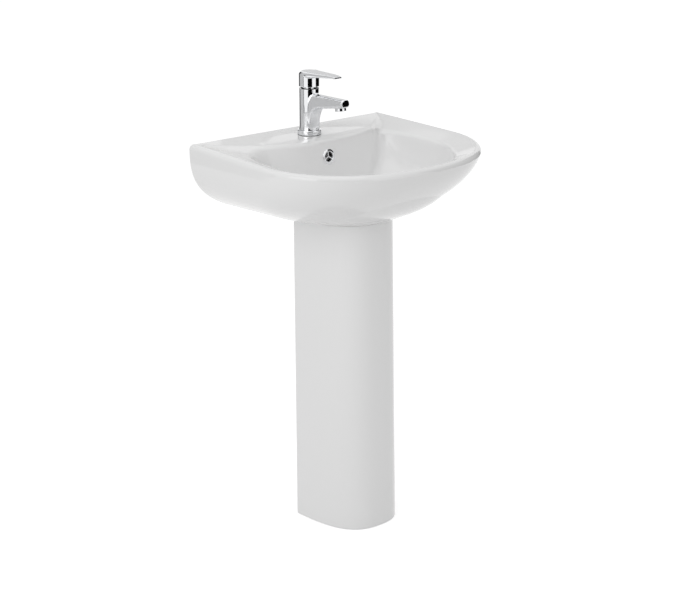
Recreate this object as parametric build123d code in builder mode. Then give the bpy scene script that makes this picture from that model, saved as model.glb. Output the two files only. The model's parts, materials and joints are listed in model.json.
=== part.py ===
"""Pedestal sink: a vitreous china basin on its pedestal, with a single-lever tap,
a click waste and a bottle trap inside the pedestal.

Millimetres. +Z is up and z = 0 is the floor. The wall is a vertical plane behind the sink,
and distances called "out" are measured from it towards the user, so y = WALL_Y - out.
"""

import os
from math import atan, cos, degrees, pi, radians, sin

from build123d import *

# ---- basin: driving sizes -------------------------------------------------
WIDTH = 550.0
DEPTH = 450.0
HEIGHT = 850.0
WALL_WIDTH = 544.0  # across the back, where the basin meets the wall
RIM_DROP = 14.5  # the rim is this much lower at the front than at the wall
RIM_ROUND = 10.0
RIM_LEAN = 3.7  # rounding the leaning rim takes this much off the reach of its sharp edge
RIM_LAND = 2.0
CHINA = 9.0  # thickness of every fired wall
DISH_DEPTH = 15.0
DISH_CORNER_OUT = 8.0
DISH_CORNER_INSET = 1.0
DECK_OUT = 126.0  # front edge of the tap deck on the centre line
DECK_SHOULDER_X = 150.0
DECK_SHOULDER_OUT = 98.0
BOWL_HALF = 213.0
BOWL_REACH = 408.0
BOWL_WIDEST_OUT = 235.0
BOWL_CORNER_X = 176.0
BOWL_CORNER_SOFTENING = 0.28  # the corners move in by this share of the bowl's half width on the way down
BOWL_BOW = 32.0  # the back wall stands this much further out in the middle than at its corners
LIP_LAND = 3.0
BOWL_FLOOR_HALF = 95.0
BOWL_FLOOR_REACH = 300.0
BOWL_FLOOR_BACK = 165.0
BOWL_FLOOR_Z = 710.0
SIDE_START_OUT = 250.0  # where the sides begin to curve round to the front
HULL_FOOT_HALF = 92.0
HULL_FOOT_REACH = 295.0
# The powers of the curves that the china follows. In plan they are super-ellipses, and from
# the rim down to the foot each reach is (1 - share of the way down ** first) ** (1 / second).
HULL_PLAN = (2.5, 1.8)
BOWL_PLAN = (2.3, 2.0)
HULL_SIDE = (3.2, 1.2)
HULL_FRONT = (1.45, 1.27)
BOWL_SIDE = (3.0, 1.6)
BOWL_FRONT = (2.2, 1.5)
BOWL_BACK = (1.6, 1.3)
BOW_POWER = 2.5
SOFTENING_POWER = 1.8
SIDE_START_FOOT = 0.62  # at the foot the sides begin to curve at this share of SIDE_START_OUT
BACK_WINDOW_HALF = 78.0
BACK_WINDOW_TOP = 790.0

# ---- basin: holes ---------------------------------------------------------
TAP_OUT = 70.0
TAP_HOLE_R = 17.5
TAP_PAD_DROP = 3.5  # the level pad round the tap is this far below the deck
TAP_PAD_HALF = 70.0
TAP_PAD_BACK = 28.0
TAP_DECK_THICK = 21.5
SPOT_FACE_R = 28.5
SPOT_FACE_DEPTH = 20.0
WASTE_OUT = 215.0
WASTE_HOLE_R = 22.5
WASTE_SINK_Z = 706.0
WASTE_SEAT_DEPTH = 2.5
WASTE_BOSS_R = 40.0
WASTE_CONE_R = 48.0
WASTE_BOSS_Z = 690.0
OVERFLOW_Z = 807.0
OVERFLOW_HOLE_R = 12.0
OVERFLOW_RING_R = 17.0
OVERFLOW_LEAN = 8.0
OVERFLOW_RING_LIFT = 1.1  # the flat ring stands this far off the bowed wall
OVERFLOW_RING_THICK = 2.5
OVERFLOW_RING_ROUND = 1.0
OVERFLOW_SLEEVE_WALL = 2.0
OVERFLOW_SLEEVE_DEPTH = 8.0
OVERFLOW_SPOKE = 3.0
OVERFLOW_SPOKE_DEPTH = 2.0
DUCT_OUT = 109.0
DUCT_GAP = 11.0
DUCT_HALF = 14.0
DUCT_TURN_Z = 717.0
DUCT_BEND = 28.0
DUCT_MOUTH = 5.0
WALL_HOLE_R = 7.0
WALL_HOLE_SPACING = 280.0
WALL_HOLE_Z = 780.0
WALL_BOSS_R = 24.0
WALL_BOSS_LENGTH = 22.0

# ---- pedestal -------------------------------------------------------------
SEAT_BACK_Z = 685.0
SEAT_FRONT_Z = 691.0
PEDESTAL_TOP_BACK = 121.0
PEDESTAL_TOP_FRONT = 291.0
PEDESTAL_TOP_HALF = 92.0
PEDESTAL_FOOT_BACK = 129.0
PEDESTAL_FOOT_FRONT = 304.0
PEDESTAL_FOOT_HALF = 96.3
PEDESTAL_WALL = 9.5
PEDESTAL_FLANGE = 12.0  # the returns along its open back
PEDESTAL_FOOT_ROUND = 4.0
PEDESTAL_PLAN = (2.93, 3.63)
LUG_HOLE_R = 4.0
LUG_HOLE_SPACING = 134.0
LUG_SIZE = 34.0
LUG_THICKNESS = 12.0
LUG_HOLE_OUT = 156.0
BEDDING = 2.0  # silicone between the basin and the pedestal
BEDDING_INSET = 1.5

# ---- fits -----------------------------------------------------------------
SLIP = 0.2  # gap round a piece that is dropped into place
RUN = 0.05  # radial gap of a pin that turns
CLEAR = 0.3  # gap between pieces that move past each other

# ---- tap: outside ---------------------------------------------------------
TAP_GASKET = 1.0
TAP_RING_R = 26.0
TAP_RING_HEIGHT = 10.0
TAP_RING_HOLE_R = 16.5
TAP_RECESS = 7.0  # how deep the body sits in its ring
TAP_RING_CHAMFER = 2.0
BODY_R = 21.5
BODY_TOP_Z = 948.0
BODY_WALL = 3.5
SPOUT_TOP_Z = 937.0
SPOUT_ROOT = 8.0  # the spout's section starts this far from the tap's axis, inside the body
SPOUT_ROOT_HALF = 14.0
SPOUT_ROOT_HEIGHT = 33.0
SPOUT_REACH = 117.0  # from the tap's axis to the spout's tip
SPOUT_TIP_HALF = 12.0
SPOUT_TIP_HEIGHT = 17.0
SPOUT_TIP_ROUND = 7.5
SPOUT_BEVEL = 2.0  # on the top edge of the spout's end
SPOUT_WALL = 3.0
GUSSET_HALF = 9.0
GUSSET_BOTTOM_Z = 866.0
GUSSET_REACH = 55.0
AERATOR_REACH = 101.5
AERATOR_R = 12.0
AERATOR_LENGTH = 6.5
AERATOR_WALL = 2.0
AERATOR_SOCKET_R = 11.0
AERATOR_THREAD = 7.0
AERATOR_SEAL = 1.5
AERATOR_CELL = 3.2
AERATOR_CELLS = 5
AERATOR_BAR = 0.8
INLET_R = 5.0  # for M10 x 1 hose tails
INLET_SPACING = 14.0
INLET_LENGTH = 11.0
RISER_R = 4.2
STUD_R = 4.0
STUD_BACK = 12.0  # the stud stands this far behind the tap's axis
STUD_DEPTH = 10.0
STUD_DROP = 62.0
STUD_NUT_FLATS = 13.0
STUD_NUT_HEIGHT = 6.5
HORSESHOE_R = 26.0
HORSESHOE_SLOT_HALF = 15.0
HORSESHOE_SLOT_BACK = 5.5
HORSESHOE_GASKET = 3.0
HORSESHOE_PLATE = 3.0

# ---- tap: cartridge and lever ---------------------------------------------
PIVOT_Z = 958.0
LIFT_MAX = 25.0  # degrees
ARM = 9.0  # from the pivot down to the middle of the spindle's ball
BALL_R = 2.2
SPINDLE_R = 3.2
SPINDLE_NECK_R = 1.4
SPINDLE_NECK_TOP = 3.0  # the spindle is full size from this far below its pivot
SPINDLE_GRIP = 9.0  # length of the spindle inside the lever's hub
PIVOT_PIN_R = 1.25
CARTRIDGE_R = 12.5
CARTRIDGE_SEAT_Z = 930.0
CARTRIDGE_HEIGHT = 32.0
CARTRIDGE_BASE = 10.5
CARTRIDGE_WALL = 1.8
CARTRIDGE_LIP = 1.7
PORT_R = 2.2
PORT_OFFSET = 7.0  # from the tap's axis to the middle of each port
PORT_SEAL_R = 3.5
PORT_SEAL = 1.2
SEAT_PLATE = 4.0  # brass between the cartridge and the chamber below it
DISC_THICK = 4.0
DISC_R = 8.4
DISC_SHIFT = 2.0  # the moving disc rests this far behind the tap's axis
DISC_POCKET = 1.0
DISC_COLLAR_R = 5.0
DISC_COLLAR = 1.9
CARRIER_Z = 952.2
CARRIER_TOP_R = 8.0
CARRIER_SLOT = 6.0
NUT_R = 14.8
NUT_TOP_R = 12.0
NUT_BOTTOM_Z = 934.5
NUT_LIP = 2.0
NUT_LIP_R = 9.0
SKIRT_R = 22.4
SKIRT_WALL = 2.2
SKIRT_BOTTOM_Z = 951.5
LEVER_TOP_Z = 984.5
LEVER_ROOF = 5.0
LEVER_SHOULDER = 10.5  # from the top down to where the skirt's side is upright
HUB_R = 6.0
HUB_BOTTOM_Z = 969.0
RIB_HALF = 4.5
SCREW_R = 2.5
SCREW_Z = 973.5
SCREW_LENGTH = 7.8
LEVER_PLUG_R = 3.0
LEVER_PLUG_LENGTH = 2.6
LEVER_REACH = 94.0  # from the tap's axis to the lever's tip
LEVER_FLAT = 70.0  # the top is level this far out, and then drops to the tip
LEVER_ROOT = 9.0
LEVER_ROOT_HALF = 20.5
LEVER_ROOT_THICK = 12.5
LEVER_MID_THICK = 9.5
LEVER_FORE_THICK = 7.5
LEVER_ROUND = 2.0
LEVER_TIP_HALF = 10.0
LEVER_TIP_THICK = 2.6
LEVER_TIP_DROP = 2.6  # the tip's top is this much lower than the lever's

# ---- waste ----------------------------------------------------------------
FLANGE_R = 31.5
FLANGE_THICK = 2.5
FLANGE_RECESS = 1.5
FLANGE_RECESS_R = 24.5
WASTE_GASKET = 1.0
TAIL_R = 20.5
TAIL_BORE_R = 17.5
TAIL_BOTTOM_Z = 628.0
SLOT_HALF = 6.0
SPIDER_Z = 660.0
SPIDER_THICK = 7.0
SPIDER_HUB_R = 7.0
SPIDER_BAR_HALF = 2.0
BOTTOM_GASKET_R = 30.0
BOTTOM_GASKET = 7.0
BACKNUT_FLATS = 56.0
BACKNUT_THICK = 8.0
CLICKER_R = 8.0
CLICKER_HEIGHT = 33.0
CLICKER_FLOOR = 5.0
CLICKER_STUB_R = 4.1
CLICKER_BORE_R = 5.6
CLICKER_PIN_R = 3.5
CLICKER_COLLAR = 3.0
CLICKER_LIP = 2.0
SPRING_WIRE = 0.8
SPRING_TURNS = 6
SPRING_R = 4.4
PLUG_R = 31.0
PLUG_EDGE = 2.0
PLUG_CROWN = 3.5
PLUG_TRAVEL = 8.0
PLUG_GAP = 0.5  # left under the plug when it is down
PLUG_BOSS_R = 6.0
PLUG_BOSS = 6.5
PLUG_SEAL_R = 24.0
PLUG_SEAL_INNER_R = 18.5
PLUG_SEAL = 1.8

# ---- bottle trap ----------------------------------------------------------
TRAP_BODY_R = 30.0
TRAP_WALL = 2.5
TRAP_BODY_BOTTOM_Z = 520.0
TRAP_BODY_TOP_Z = 606.0
TRAP_NECK_R = 25.0
TRAP_NECK_WALL = 3.0
TRAP_NECK_TOP_Z = 634.0
TRAP_NECK_DEPTH = 22.0
DIP_R = 15.0
DIP_BOTTOM_Z = 492.0
TRAP_NUT_WALL = 3.5
TRAP_NUT_HEIGHT = 20.0
TRAP_NUT_LIP = 7.5
TRAP_WASHER = 4.5
TRAP_CUP_BOTTOM_Z = 462.0
TRAP_CUP_RING = 27.0
TRAP_CUP_SEAL = 5.0
TRAP_OUTLET_Z = 572.0
TRAP_OUTLET_OUT = 150.0
TRAP_OUTLET_R = 19.0
TRAP_SOCKET_R = 16.3  # for a 32 mm pipe
TRAP_SOCKET_DEPTH = 22.0
TRAP_OUTLET_BORE_R = 14.5

# ---- worked out from the sizes above --------------------------------------
WALL_Y = DEPTH / 2
TAP_Y = WALL_Y - TAP_OUT
WASTE_Y = WALL_Y - WASTE_OUT
RIM_TILT = degrees(atan(RIM_DROP / DEPTH))
SEAT_TILT = degrees(atan((SEAT_FRONT_Z - SEAT_BACK_Z) / (PEDESTAL_TOP_FRONT - PEDESTAL_TOP_BACK)))
SEAT_WALL_Z = SEAT_BACK_Z - (SEAT_FRONT_Z - SEAT_BACK_Z) * PEDESTAL_TOP_BACK / (
    PEDESTAL_TOP_FRONT - PEDESTAL_TOP_BACK
)
PAD_Z = HEIGHT - TAP_PAD_DROP
DECK_UNDER_Z = PAD_Z - TAP_DECK_THICK
WASTE_SEAT_Z = WASTE_SINK_Z - WASTE_SEAT_DEPTH
DUCT_BOTTOM_Z = WASTE_BOSS_Z + 4
DUCT_TOP_Z = OVERFLOW_Z + OVERFLOW_HOLE_R + 1
SEAT_CENTRE_Z = (SEAT_BACK_Z + SEAT_FRONT_Z) / 2
PIPE_WAY_BOTTOM_Z = SEAT_CENTRE_Z - 30
PIPE_WAY_TOP_Z = SEAT_CENTRE_Z + CHINA + 6
PEDESTAL_BACK_PLANE = Plane(
    (0, WALL_Y - PEDESTAL_FOOT_BACK, 0),
    x_dir=(1, 0, 0),
    z_dir=(0, SEAT_CENTRE_Z, PEDESTAL_TOP_BACK - PEDESTAL_FOOT_BACK),
)
OVERCUT = 0.5  # how far a cutting shape runs past the face it cuts
BACK_STOCK = 40.0  # the solids are shaped past the wall and then cut flat

RING_Z = PAD_Z + TAP_GASKET
BODY_BOTTOM_Z = RING_Z + TAP_RING_HEIGHT - TAP_RECESS
CHAMBER_R = BODY_R - BODY_WALL
CHAMBER_BOTTOM_Z = BODY_BOTTOM_Z + INLET_LENGTH + 2
CHAMBER_TOP_Z = CARTRIDGE_SEAT_Z - SEAT_PLATE
SPOUT_SLOPE = (SPOUT_ROOT_HEIGHT - SPOUT_TIP_HEIGHT) / (SPOUT_REACH - SPOUT_ROOT)
SKIRT_DROP = PIVOT_Z - SKIRT_BOTTOM_Z
LIFT = radians(LIFT_MAX)
SWEEP_R = SKIRT_R * cos(LIFT) - SKIRT_DROP * sin(LIFT) - CLEAR
SWEEP_Z = PIVOT_Z - SKIRT_R * sin(LIFT) - SKIRT_DROP * cos(LIFT) - 4 * CLEAR
CARTRIDGE_TOP_Z = CARTRIDGE_SEAT_Z + CARTRIDGE_HEIGHT
CARTRIDGE_BORE_R = CARTRIDGE_R - CARTRIDGE_WALL
FIXED_DISC_Z = CARTRIDGE_SEAT_Z + CARTRIDGE_BASE
MOVING_DISC_Z = FIXED_DISC_Z + DISC_THICK + RUN
CARRIER_SHOULDER_Z = CARTRIDGE_TOP_Z - CARTRIDGE_LIP - CLEAR
STUD_BOTTOM_Z = BODY_BOTTOM_Z - STUD_DROP
HORSESHOE_Z = DECK_UNDER_Z - HORSESHOE_GASKET - HORSESHOE_PLATE
FLANGE_Z = WASTE_SEAT_Z + WASTE_GASKET
FLANGE_TOP_Z = FLANGE_Z + FLANGE_THICK
CLICKER_Z = SPIDER_Z + SPIDER_THICK
CLICKER_TOP_Z = CLICKER_Z + CLICKER_HEIGHT
PLUG_Z = FLANGE_TOP_Z + PLUG_GAP + PLUG_TRAVEL
PIN_BOTTOM_Z = CLICKER_TOP_Z - CLICKER_LIP - CLICKER_COLLAR - CLEAR
TRAP_WASHER_TOP_Z = TRAP_NECK_TOP_Z + TRAP_WASHER


def level(height, tilt=0.0):
    """A sketching plane that meets the wall at this height and falls by tilt towards the front.

    Its own x is the part's X and its own y is the distance out from the wall, negated.
    """
    lean = radians(tilt)
    return Plane((0, WALL_Y, height), x_dir=(1, 0, 0), z_dir=(0, -sin(lean), cos(lean)))


def ring(points):
    """A closed smooth outline through (x, out) points of its right half, mirrored to the left."""
    right = [(x, -out) for x, out in points]
    left = [(-x, y) for x, y in reversed(right[1:-1])]
    with BuildSketch() as outline:
        with BuildLine():
            Spline(*right, *left, periodic=True)
        make_face()
    return outline.sketch


def fall(share, powers):
    """How much of a reach is left at a share of the way down: 1 at the top and 0 at the foot."""
    return (1 - share ** powers[0]) ** (1 / powers[1])


def rounded_front(half, reach, start, powers, steps=7):
    """Points of a super-ellipse quarter, from the widest point round to the front."""
    x_power, out_power = powers
    points = []
    for step in range(steps + 1):
        turn = pi / 2 * step / steps
        x = half * cos(turn) ** (2 / x_power) if step < steps else 0.0
        points.append((x, start + (reach - start) * sin(turn) ** (2 / out_power)))
    return points


def hull_ring(half, wall_half, reach, start):
    """The basin's outside at one level: square to the wall, then round the front."""
    back = [
        (0, -BACK_STOCK),
        (wall_half * 0.5, -BACK_STOCK),
        (wall_half - 4, -BACK_STOCK + 3),
        (wall_half, -BACK_STOCK / 2),
        (wall_half, 0),
    ]
    for share in (0.3, 0.6, 0.85):
        back.append((wall_half + (half - wall_half) * (1 - (1 - share) ** 2), start * share))
    return ring(back + rounded_front(half, reach, start, HULL_PLAN))


def hull(inset=0.0):
    """The basin's outside as one smooth solid or, inset by the china, the space inside it."""
    sections = []
    for share in (0, 0.2, 0.4, 0.58, 0.72, 0.83, 0.91, 0.965, 1.0):
        side = fall(share, HULL_SIDE)
        front = fall(share, HULL_FRONT)
        half = HULL_FOOT_HALF + (WIDTH / 2 - HULL_FOOT_HALF) * side
        wall_half = HULL_FOOT_HALF + (WALL_WIDTH / 2 - HULL_FOOT_HALF) * side
        reach = HULL_FOOT_REACH + (DEPTH + RIM_LEAN - HULL_FOOT_REACH) * front
        start = SIDE_START_OUT * (SIDE_START_FOOT + (1 - SIDE_START_FOOT) * front)
        outline = hull_ring(half - inset, wall_half - inset, reach - inset, start)
        height = HEIGHT + (SEAT_WALL_Z - HEIGHT) * share + inset * share**2
        sections.append(level(height, RIM_TILT * (1 - share) - SEAT_TILT * share).location * outline)
    return loft(sections, mode=Mode.PRIVATE)


def bowed_back(corner_x, back, bow, shares):
    """Points of a wall that is furthest out in the middle and curves back towards its corner."""
    return [(corner_x * share, back - bow * share**BOW_POWER) for share in shares]


def bowl_ring(half, corner_x, reach, back, bow):
    """The bowl at one level: bowed back wall, tight back corners, sides and a round front."""
    points = bowed_back(corner_x, back, bow, (0, 0.35, 0.6, 0.8, 0.93))
    points += side_wall(half, corner_x, back - bow, (0, 14, 30, 50, 70))
    return ring(points + rounded_front(half, reach, BOWL_WIDEST_OUT, BOWL_PLAN))


def side_wall(half, corner_x, corner_out, turns):
    """Points of the bowl's side, a quarter ellipse from its back corner to its widest place."""
    return [
        (
            corner_x + (half - corner_x) * sin(radians(turn)),
            corner_out + (BOWL_WIDEST_OUT - corner_out) * (1 - cos(radians(turn))),
        )
        for turn in turns
    ]


def bowl(grow=0.0):
    """The water space of the bowl, or with the china grown on it, the outside of its walls."""
    sections = []
    for share in (0, 0.3, 0.55, 0.75, 0.88, 0.96, 1.0):
        half = BOWL_FLOOR_HALF + (BOWL_HALF - BOWL_FLOOR_HALF) * fall(share, BOWL_SIDE) + grow
        reach = BOWL_FLOOR_REACH + (BOWL_REACH - BOWL_FLOOR_REACH) * fall(share, BOWL_FRONT) + grow
        corner = BOWL_CORNER_X / BOWL_HALF - BOWL_CORNER_SOFTENING * share**SOFTENING_POWER
        outline = bowl_ring(half, half * corner, reach, bowl_back_out(share) - grow, BOWL_BOW * (1 - share))
        top = HEIGHT - DISH_DEPTH
        height = top + (BOWL_FLOOR_Z - top) * share - grow * share**2
        sections.append(level(height, RIM_TILT * (1 - share)).location * outline)
    return loft(sections, mode=Mode.PRIVATE)


def dish_ring(height, back, sides):
    """One outline of the dished rim: deck edge, shoulder, outer corner, then the sides and front."""
    with BuildSketch() as outline:
        with BuildLine():
            Spline(*[(x, -out) for x, out in back])
            Line((back[-1][0], -back[-1][1]), (sides[0][0], -sides[0][1]))
            Spline(*[(x, -out) for x, out in sides], *[(-x, -out) for x, out in reversed(sides[:-1])])
            Line((-sides[0][0], -sides[0][1]), (back[0][0], -back[0][1]))
        make_face()
    return level(height, RIM_TILT).location * outline.sketch


def both_sides(points):
    """The mirrored half first, then the given half, whose first point is on the centre line."""
    return [(-x, out) for x, out in reversed(points[1:])] + points


def dish():
    """The space above the dished rim, between the deck's front edge and the rim's outer edge."""
    inset = RIM_ROUND + RIM_LAND
    shoulder = (DECK_SHOULDER_X, DECK_SHOULDER_OUT)
    half = WIDTH / 2 - inset
    edge_bow = DECK_OUT - shoulder[1]
    deck_edge = both_sides(bowed_back(shoulder[0], DECK_OUT, edge_bow, (0, 0.5, 0.8, 1.0)))
    rim_edge = [(half - DISH_CORNER_INSET, DISH_CORNER_OUT), (half, SIDE_START_OUT / 2)]
    rim_edge += rounded_front(half, DEPTH - inset, SIDE_START_OUT, HULL_PLAN)
    lip_back = both_sides(bowed_back(BOWL_CORNER_X - LIP_LAND, DECK_OUT, BOWL_BOW, (0, 0.5, 0.8, 1.0)))
    lip_half = BOWL_HALF + LIP_LAND
    lip_corner_x = BOWL_CORNER_X + LIP_LAND
    lip_sides = side_wall(lip_half, lip_corner_x, DECK_OUT - BOWL_BOW, (14, 30, 50, 70))
    lip_sides += rounded_front(lip_half, BOWL_REACH + LIP_LAND, BOWL_WIDEST_OUT, BOWL_PLAN)
    return loft(
        [
            dish_ring(HEIGHT - DISH_DEPTH, lip_back, lip_sides),
            dish_ring(HEIGHT + OVERCUT, deck_edge, rim_edge),
        ],
        ruled=True,
        mode=Mode.PRIVATE,
    )


def bowl_back_out(share):
    """How far out the middle of the bowl's back wall is, at a share of the bowl's depth."""
    top_out = DECK_OUT + LIP_LAND
    return BOWL_FLOOR_BACK - (BOWL_FLOOR_BACK - top_out) * fall(share, BOWL_BACK)


def tap_pad():
    """The space above the level pad that the tap stands on, with soft sloping sides."""
    outlines = []
    for height, grow in ((PAD_Z, 0), (PAD_Z + TAP_PAD_DROP + OVERCUT, 8)):
        half = TAP_PAD_HALF + grow
        shoulder = DECK_SHOULDER_X - 10 + grow
        back = TAP_OUT - TAP_PAD_BACK - grow
        with BuildSketch() as outline:
            with BuildLine():
                Polyline(
                    (-half, -back),
                    (half, -back),
                    (shoulder, -DECK_SHOULDER_OUT),
                    (shoulder, -DECK_OUT - 20),
                    (-shoulder, -DECK_OUT - 20),
                    (-shoulder, -DECK_SHOULDER_OUT),
                    close=True,
                )
            make_face()
        outlines.append(level(height).location * outline.sketch)
    return loft(outlines, ruled=True, mode=Mode.PRIVATE)


def pedestal_outline(height, inset):
    """The pedestal's outline at a height: nearly straight sides and a softly squared front."""
    share = height / SEAT_CENTRE_Z
    half = PEDESTAL_FOOT_HALF + (PEDESTAL_TOP_HALF - PEDESTAL_FOOT_HALF) * share - inset
    back = PEDESTAL_FOOT_BACK + (PEDESTAL_TOP_BACK - PEDESTAL_FOOT_BACK) * share
    front = PEDESTAL_FOOT_FRONT + (PEDESTAL_TOP_FRONT - PEDESTAL_FOOT_FRONT) * share - inset
    stock = [
        (0, back - BACK_STOCK),
        (half * 0.6, back - BACK_STOCK),
        (half - 3, back - BACK_STOCK + 2),
        (half, back - BACK_STOCK / 2),
    ]
    return ring(stock + rounded_front(half, front, back, PEDESTAL_PLAN, steps=9))


def pedestal_core(inset, bottom, top):
    """A solid pedestal between two heights or, where top is None, up to the basin's seat."""
    if top is None:
        upper = level(SEAT_WALL_Z - BEDDING, -SEAT_TILT).location * pedestal_outline(SEAT_CENTRE_Z, inset)
    else:
        upper = level(top).location * pedestal_outline(top, inset)
    lower = level(bottom).location * pedestal_outline(bottom, inset)
    return loft([lower, upper], ruled=True, mode=Mode.PRIVATE)


def turned(x, y, profile, mode=Mode.ADD):
    """Turns (radius, height) points about the vertical line through (x, y)."""
    with BuildSketch(Plane((x, y, 0), x_dir=(1, 0, 0), z_dir=(0, -1, 0))) as section:
        with BuildLine():
            Polyline(*profile, close=True)
        make_face()
    revolve(section.sketch, axis=Axis((x, y, 0), (0, 0, 1)), mode=mode)


def tube(x, y, outer, inner, bottom, top):
    """A plain round ring or sleeve."""
    turned(x, y, [(inner, bottom), (outer, bottom), (outer, top), (inner, top)])


def block(x_half, out_from, out_to, bottom, top, mode=Mode.ADD):
    """A box centred on x = 0, between two distances out from the wall."""
    with Locations((0, WALL_Y - (out_from + out_to) / 2, (bottom + top) / 2)):
        Box(2 * x_half, abs(out_to - out_from), top - bottom, mode=mode)


def spout_plane(reach):
    """A vertical plane across the spout, at a distance from the tap's axis, level with its top."""
    return Plane((0, TAP_Y - reach, SPOUT_TOP_Z), x_dir=(1, 0, 0), z_dir=(0, -1, 0))


def spout_height(reach):
    """The spout's height at a distance from the tap's axis."""
    return SPOUT_ROOT_HEIGHT - SPOUT_SLOPE * (reach - SPOUT_ROOT)


def backward_plane(behind):
    """A plane facing the wall at the lever screw's height, this far behind the tap's axis."""
    return Plane((0, TAP_Y + behind, SCREW_Z), x_dir=(1, 0, 0), z_dir=(0, 1, 0))


def horseshoe(bottom, thickness, radius):
    """A round plate under the deck, open at the front for the hoses and bored for the stud."""
    with BuildSketch(Plane((0, TAP_Y, bottom))) as plate:
        Circle(radius)
        with Locations((0, (HORSESHOE_SLOT_BACK - radius) / 2)):
            Rectangle(2 * HORSESHOE_SLOT_HALF, radius + HORSESHOE_SLOT_BACK + OVERCUT, mode=Mode.SUBTRACT)
        with Locations((0, STUD_BACK)):
            Circle(STUD_R + SLIP, mode=Mode.SUBTRACT)
    extrude(plate.sketch, amount=thickness)


def bore(x, y, radius, bottom, top):
    """Drills an upright hole between two heights."""
    with Locations((x, y, (bottom + top) / 2)):
        Cylinder(radius, top - bottom, mode=Mode.SUBTRACT)


def cross_bore(y, z, radius, half, mode=Mode.SUBTRACT):
    """A cylinder along X, as long each side of the middle."""
    with Locations(Location((0, y, z), (0, 90, 0))):
        Cylinder(radius, 2 * half, mode=mode)


def save(piece, name):
    """Labels a finished piece and writes it to its own file."""
    piece.part.label = name
    export_step(piece.part, f"parts/{name}.step")


BOWL_TOP_Z = HEIGHT - DISH_DEPTH
OVERFLOW_SHARE = (BOWL_TOP_Z - RIM_DROP * DECK_OUT / DEPTH - OVERFLOW_Z) / (
    BOWL_TOP_Z - RIM_DROP * DECK_OUT / DEPTH - BOWL_FLOOR_Z
)
OVERFLOW_PLANE = Plane(
    (0, WALL_Y - bowl_back_out(OVERFLOW_SHARE), OVERFLOW_Z),
    x_dir=(1, 0, 0),
    z_dir=(0, -cos(radians(OVERFLOW_LEAN)), sin(radians(OVERFLOW_LEAN))),
)

AERATOR_LEAN = atan(SPOUT_SLOPE)
AERATOR_PLANE = Plane(
    (0, TAP_Y - AERATOR_REACH, SPOUT_TOP_Z - spout_height(AERATOR_REACH)),
    x_dir=(1, 0, 0),
    z_dir=(0, -sin(AERATOR_LEAN), -cos(AERATOR_LEAN)),
)
AERATOR_SOCKET_DEPTH = AERATOR_THREAD + AERATOR_SEAL
CARTRIDGE_PORTS = (
    (-INLET_SPACING / 2, TAP_Y),
    (INLET_SPACING / 2, TAP_Y),
    (0, TAP_Y - PORT_OFFSET),
)

os.makedirs("parts", exist_ok=True)

# ---- basin ----------------------------------------------------------------
with BuildPart() as bowl_walls:
    add(bowl(grow=CHINA))
    with Locations((0, WASTE_Y, (WASTE_BOSS_Z + BOWL_FLOOR_Z) / 2)):
        Cylinder(WASTE_BOSS_R, BOWL_FLOOR_Z - WASTE_BOSS_Z)
    with BuildSketch(Plane.YZ):
        with BuildLine():
            Polyline(
                (WALL_Y - DUCT_OUT + CHINA, DUCT_TOP_Z + CHINA),
                (WALL_Y - DUCT_OUT + CHINA, DUCT_TURN_Z - CHINA / 2),
                (WALL_Y - DUCT_OUT + CHINA - DUCT_BEND, WASTE_BOSS_Z),
                (WASTE_Y, WASTE_BOSS_Z),
                (WASTE_Y, BOWL_FLOOR_Z),
                (WALL_Y - BOWL_FLOOR_BACK, BOWL_FLOOR_Z),
                (WALL_Y - bowl_back_out(0), DUCT_TOP_Z + CHINA),
                close=True,
            )
        make_face()
    extrude(amount=DUCT_HALF + CHINA, both=True)

with BuildPart() as hollow:
    add(hull(inset=CHINA))
    split(bisect_by=Plane((0, WALL_Y - CHINA, 0), z_dir=(0, 1, 0)), keep=Keep.BOTTOM)
    split(bisect_by=level(HEIGHT - DISH_DEPTH - CHINA, RIM_TILT), keep=Keep.BOTTOM)
    with Locations((0, TAP_Y, DECK_UNDER_Z - SPOT_FACE_DEPTH / 2)):
        Cylinder(SPOT_FACE_R, SPOT_FACE_DEPTH)
    add(bowl_walls.part, mode=Mode.SUBTRACT)
    with Locations(Plane.XZ.offset(-WALL_Y)):
        with Locations((-WALL_HOLE_SPACING / 2, WALL_HOLE_Z), (WALL_HOLE_SPACING / 2, WALL_HOLE_Z)):
            Cylinder(WALL_BOSS_R, 2 * WALL_BOSS_LENGTH, mode=Mode.SUBTRACT)

with BuildPart() as pipe_way:
    add(pedestal_core(PEDESTAL_WALL, PIPE_WAY_BOTTOM_Z, PIPE_WAY_TOP_Z))
    block(BACK_WINDOW_HALF, -BACK_STOCK, PEDESTAL_TOP_BACK + BACK_STOCK, PIPE_WAY_BOTTOM_Z, PIPE_WAY_TOP_Z)
    add(bowl_walls.part, mode=Mode.SUBTRACT)

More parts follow.
